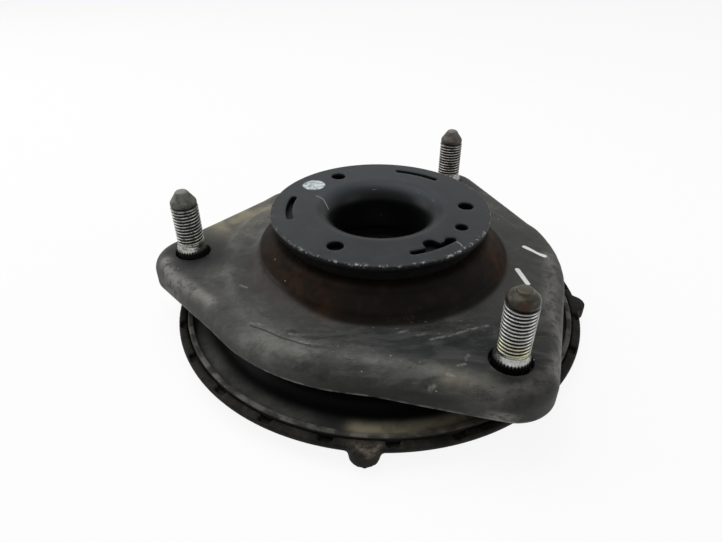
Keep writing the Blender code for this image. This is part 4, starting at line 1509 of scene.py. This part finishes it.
# %% [markdown]
# ## The studio
# A pale floor under the object, an even white surround and three large soft lamps: one overhead,
# one like a window at the left and a weaker one at the right. Floor and surround are seen as plain
# white by the camera, in gloss and through glass, but they light the object less strongly, so the
# lamps can still shape it. More lamp light would whiten the floor too, but bleach the object.

# %% Rays that see the background
def background_rays(nodes, links):
    """1 for rays that show the background: those of the camera, of gloss and through glass."""
    path = nodes.new("ShaderNodeLightPath")
    shown = path.outputs["Is Camera Ray"]
    for kind in ("Is Glossy Ray", "Is Transmission Ray"):
        most = nodes.new("ShaderNodeMath")
        most.operation = "MAXIMUM"
        links.new(shown, most.inputs[0])
        links.new(path.outputs[kind], most.inputs[1])
        shown = most.outputs[0]
    return shown


# %% Floor
floor_reach = 4.0
floor_corners = [(-1, -1), (1, -1), (1, 1), (-1, 1)]
floor_mesh = bpy.data.meshes.new("floor")
floor_points = [(x * floor_reach, y * floor_reach, cad_low.z) for x, y in floor_corners]
floor_mesh.from_pydata(floor_points, [], [(0, 1, 2, 3)])
floor = bpy.data.objects.new("floor", floor_mesh)
bpy.context.scene.collection.objects.link(floor)
floor_paint = bpy.data.materials.new("floor_paint")
floor_paint.use_nodes = True
nodes, links = floor_paint.node_tree.nodes, floor_paint.node_tree.links
shader = nodes["Principled BSDF"]
shader.inputs["Base Color"].default_value = (0.86, 0.86, 0.86, 1.0)
shader.inputs["Roughness"].default_value = 0.9
shader.inputs["Specular IOR Level"].default_value = 0.0
white = nodes.new("ShaderNodeEmission")
white.inputs["Strength"].default_value = 1.0
share = nodes.new("ShaderNodeMath")
share.operation = "MULTIPLY"
share.inputs[1].default_value = 0.90
blend = nodes.new("ShaderNodeMixShader")
links.new(background_rays(nodes, links), share.inputs[0])
links.new(share.outputs[0], blend.inputs[0])
links.new(shader.outputs[0], blend.inputs[1])
links.new(white.outputs[0], blend.inputs[2])
links.new(blend.outputs[0], nodes["Material Output"].inputs["Surface"])
floor_mesh.materials.append(floor_paint)

# %% World
world = bpy.data.worlds.new("surround")
bpy.context.scene.world = world
world.use_nodes = True
nodes, links = world.node_tree.nodes, world.node_tree.links
sky = nodes["Background"]
sky.inputs["Color"].default_value = (1.0, 1.0, 1.0, 1.0)
strength = nodes.new("ShaderNodeMapRange")
strength.inputs["To Min"].default_value = 0.28
strength.inputs["To Max"].default_value = 1.0
links.new(background_rays(nodes, links), strength.inputs["Value"])
links.new(strength.outputs[0], sky.inputs["Strength"])

# %% Lamps
def lamp(name, place, side, power):
    """A square soft lamp that points at the object."""
    data = bpy.data.lights.new(name, "AREA")
    data.shape = "SQUARE"
    data.size = side
    data.energy = power
    light = bpy.data.objects.new(name, data)
    bpy.context.scene.collection.objects.link(light)
    light.location = place
    light.rotation_euler = (-Vector(place)).to_track_quat("-Z", "Y").to_euler()
    print("lamp", name, power, "W")


lamp("overhead", (-0.20, 0.15, 0.75), 0.7, 4.2)
lamp("window", (-0.8, 0.3, 0.35), 0.6, 2.8)
lamp("right", (0.75, -0.30, 0.35), 0.5, 1.3)

# %% [markdown]
# ## The camera
# The camera stands where the photographer stood, close and a little above the object, so near
# pieces look larger than far ones. Its place and lens were fitted to the studs, the disc and the
# rims of the dish. A longer lens from further away would flatten the triangle of the studs.

# %% Camera
camera_data = bpy.data.cameras.new("camera")
camera_data.lens = 26.80
camera_data.sensor_width = 36.0
camera_data.clip_start = 0.01
camera = bpy.data.objects.new("camera", camera_data)
bpy.context.scene.collection.objects.link(camera)
camera.location = (-0.00983, -0.17811, 0.10954)
camera.rotation_euler = (math.radians(56.11), 0.0, math.radians(-0.9))
bpy.context.scene.camera = camera
bpy.context.scene.view_settings.view_transform = "Standard"
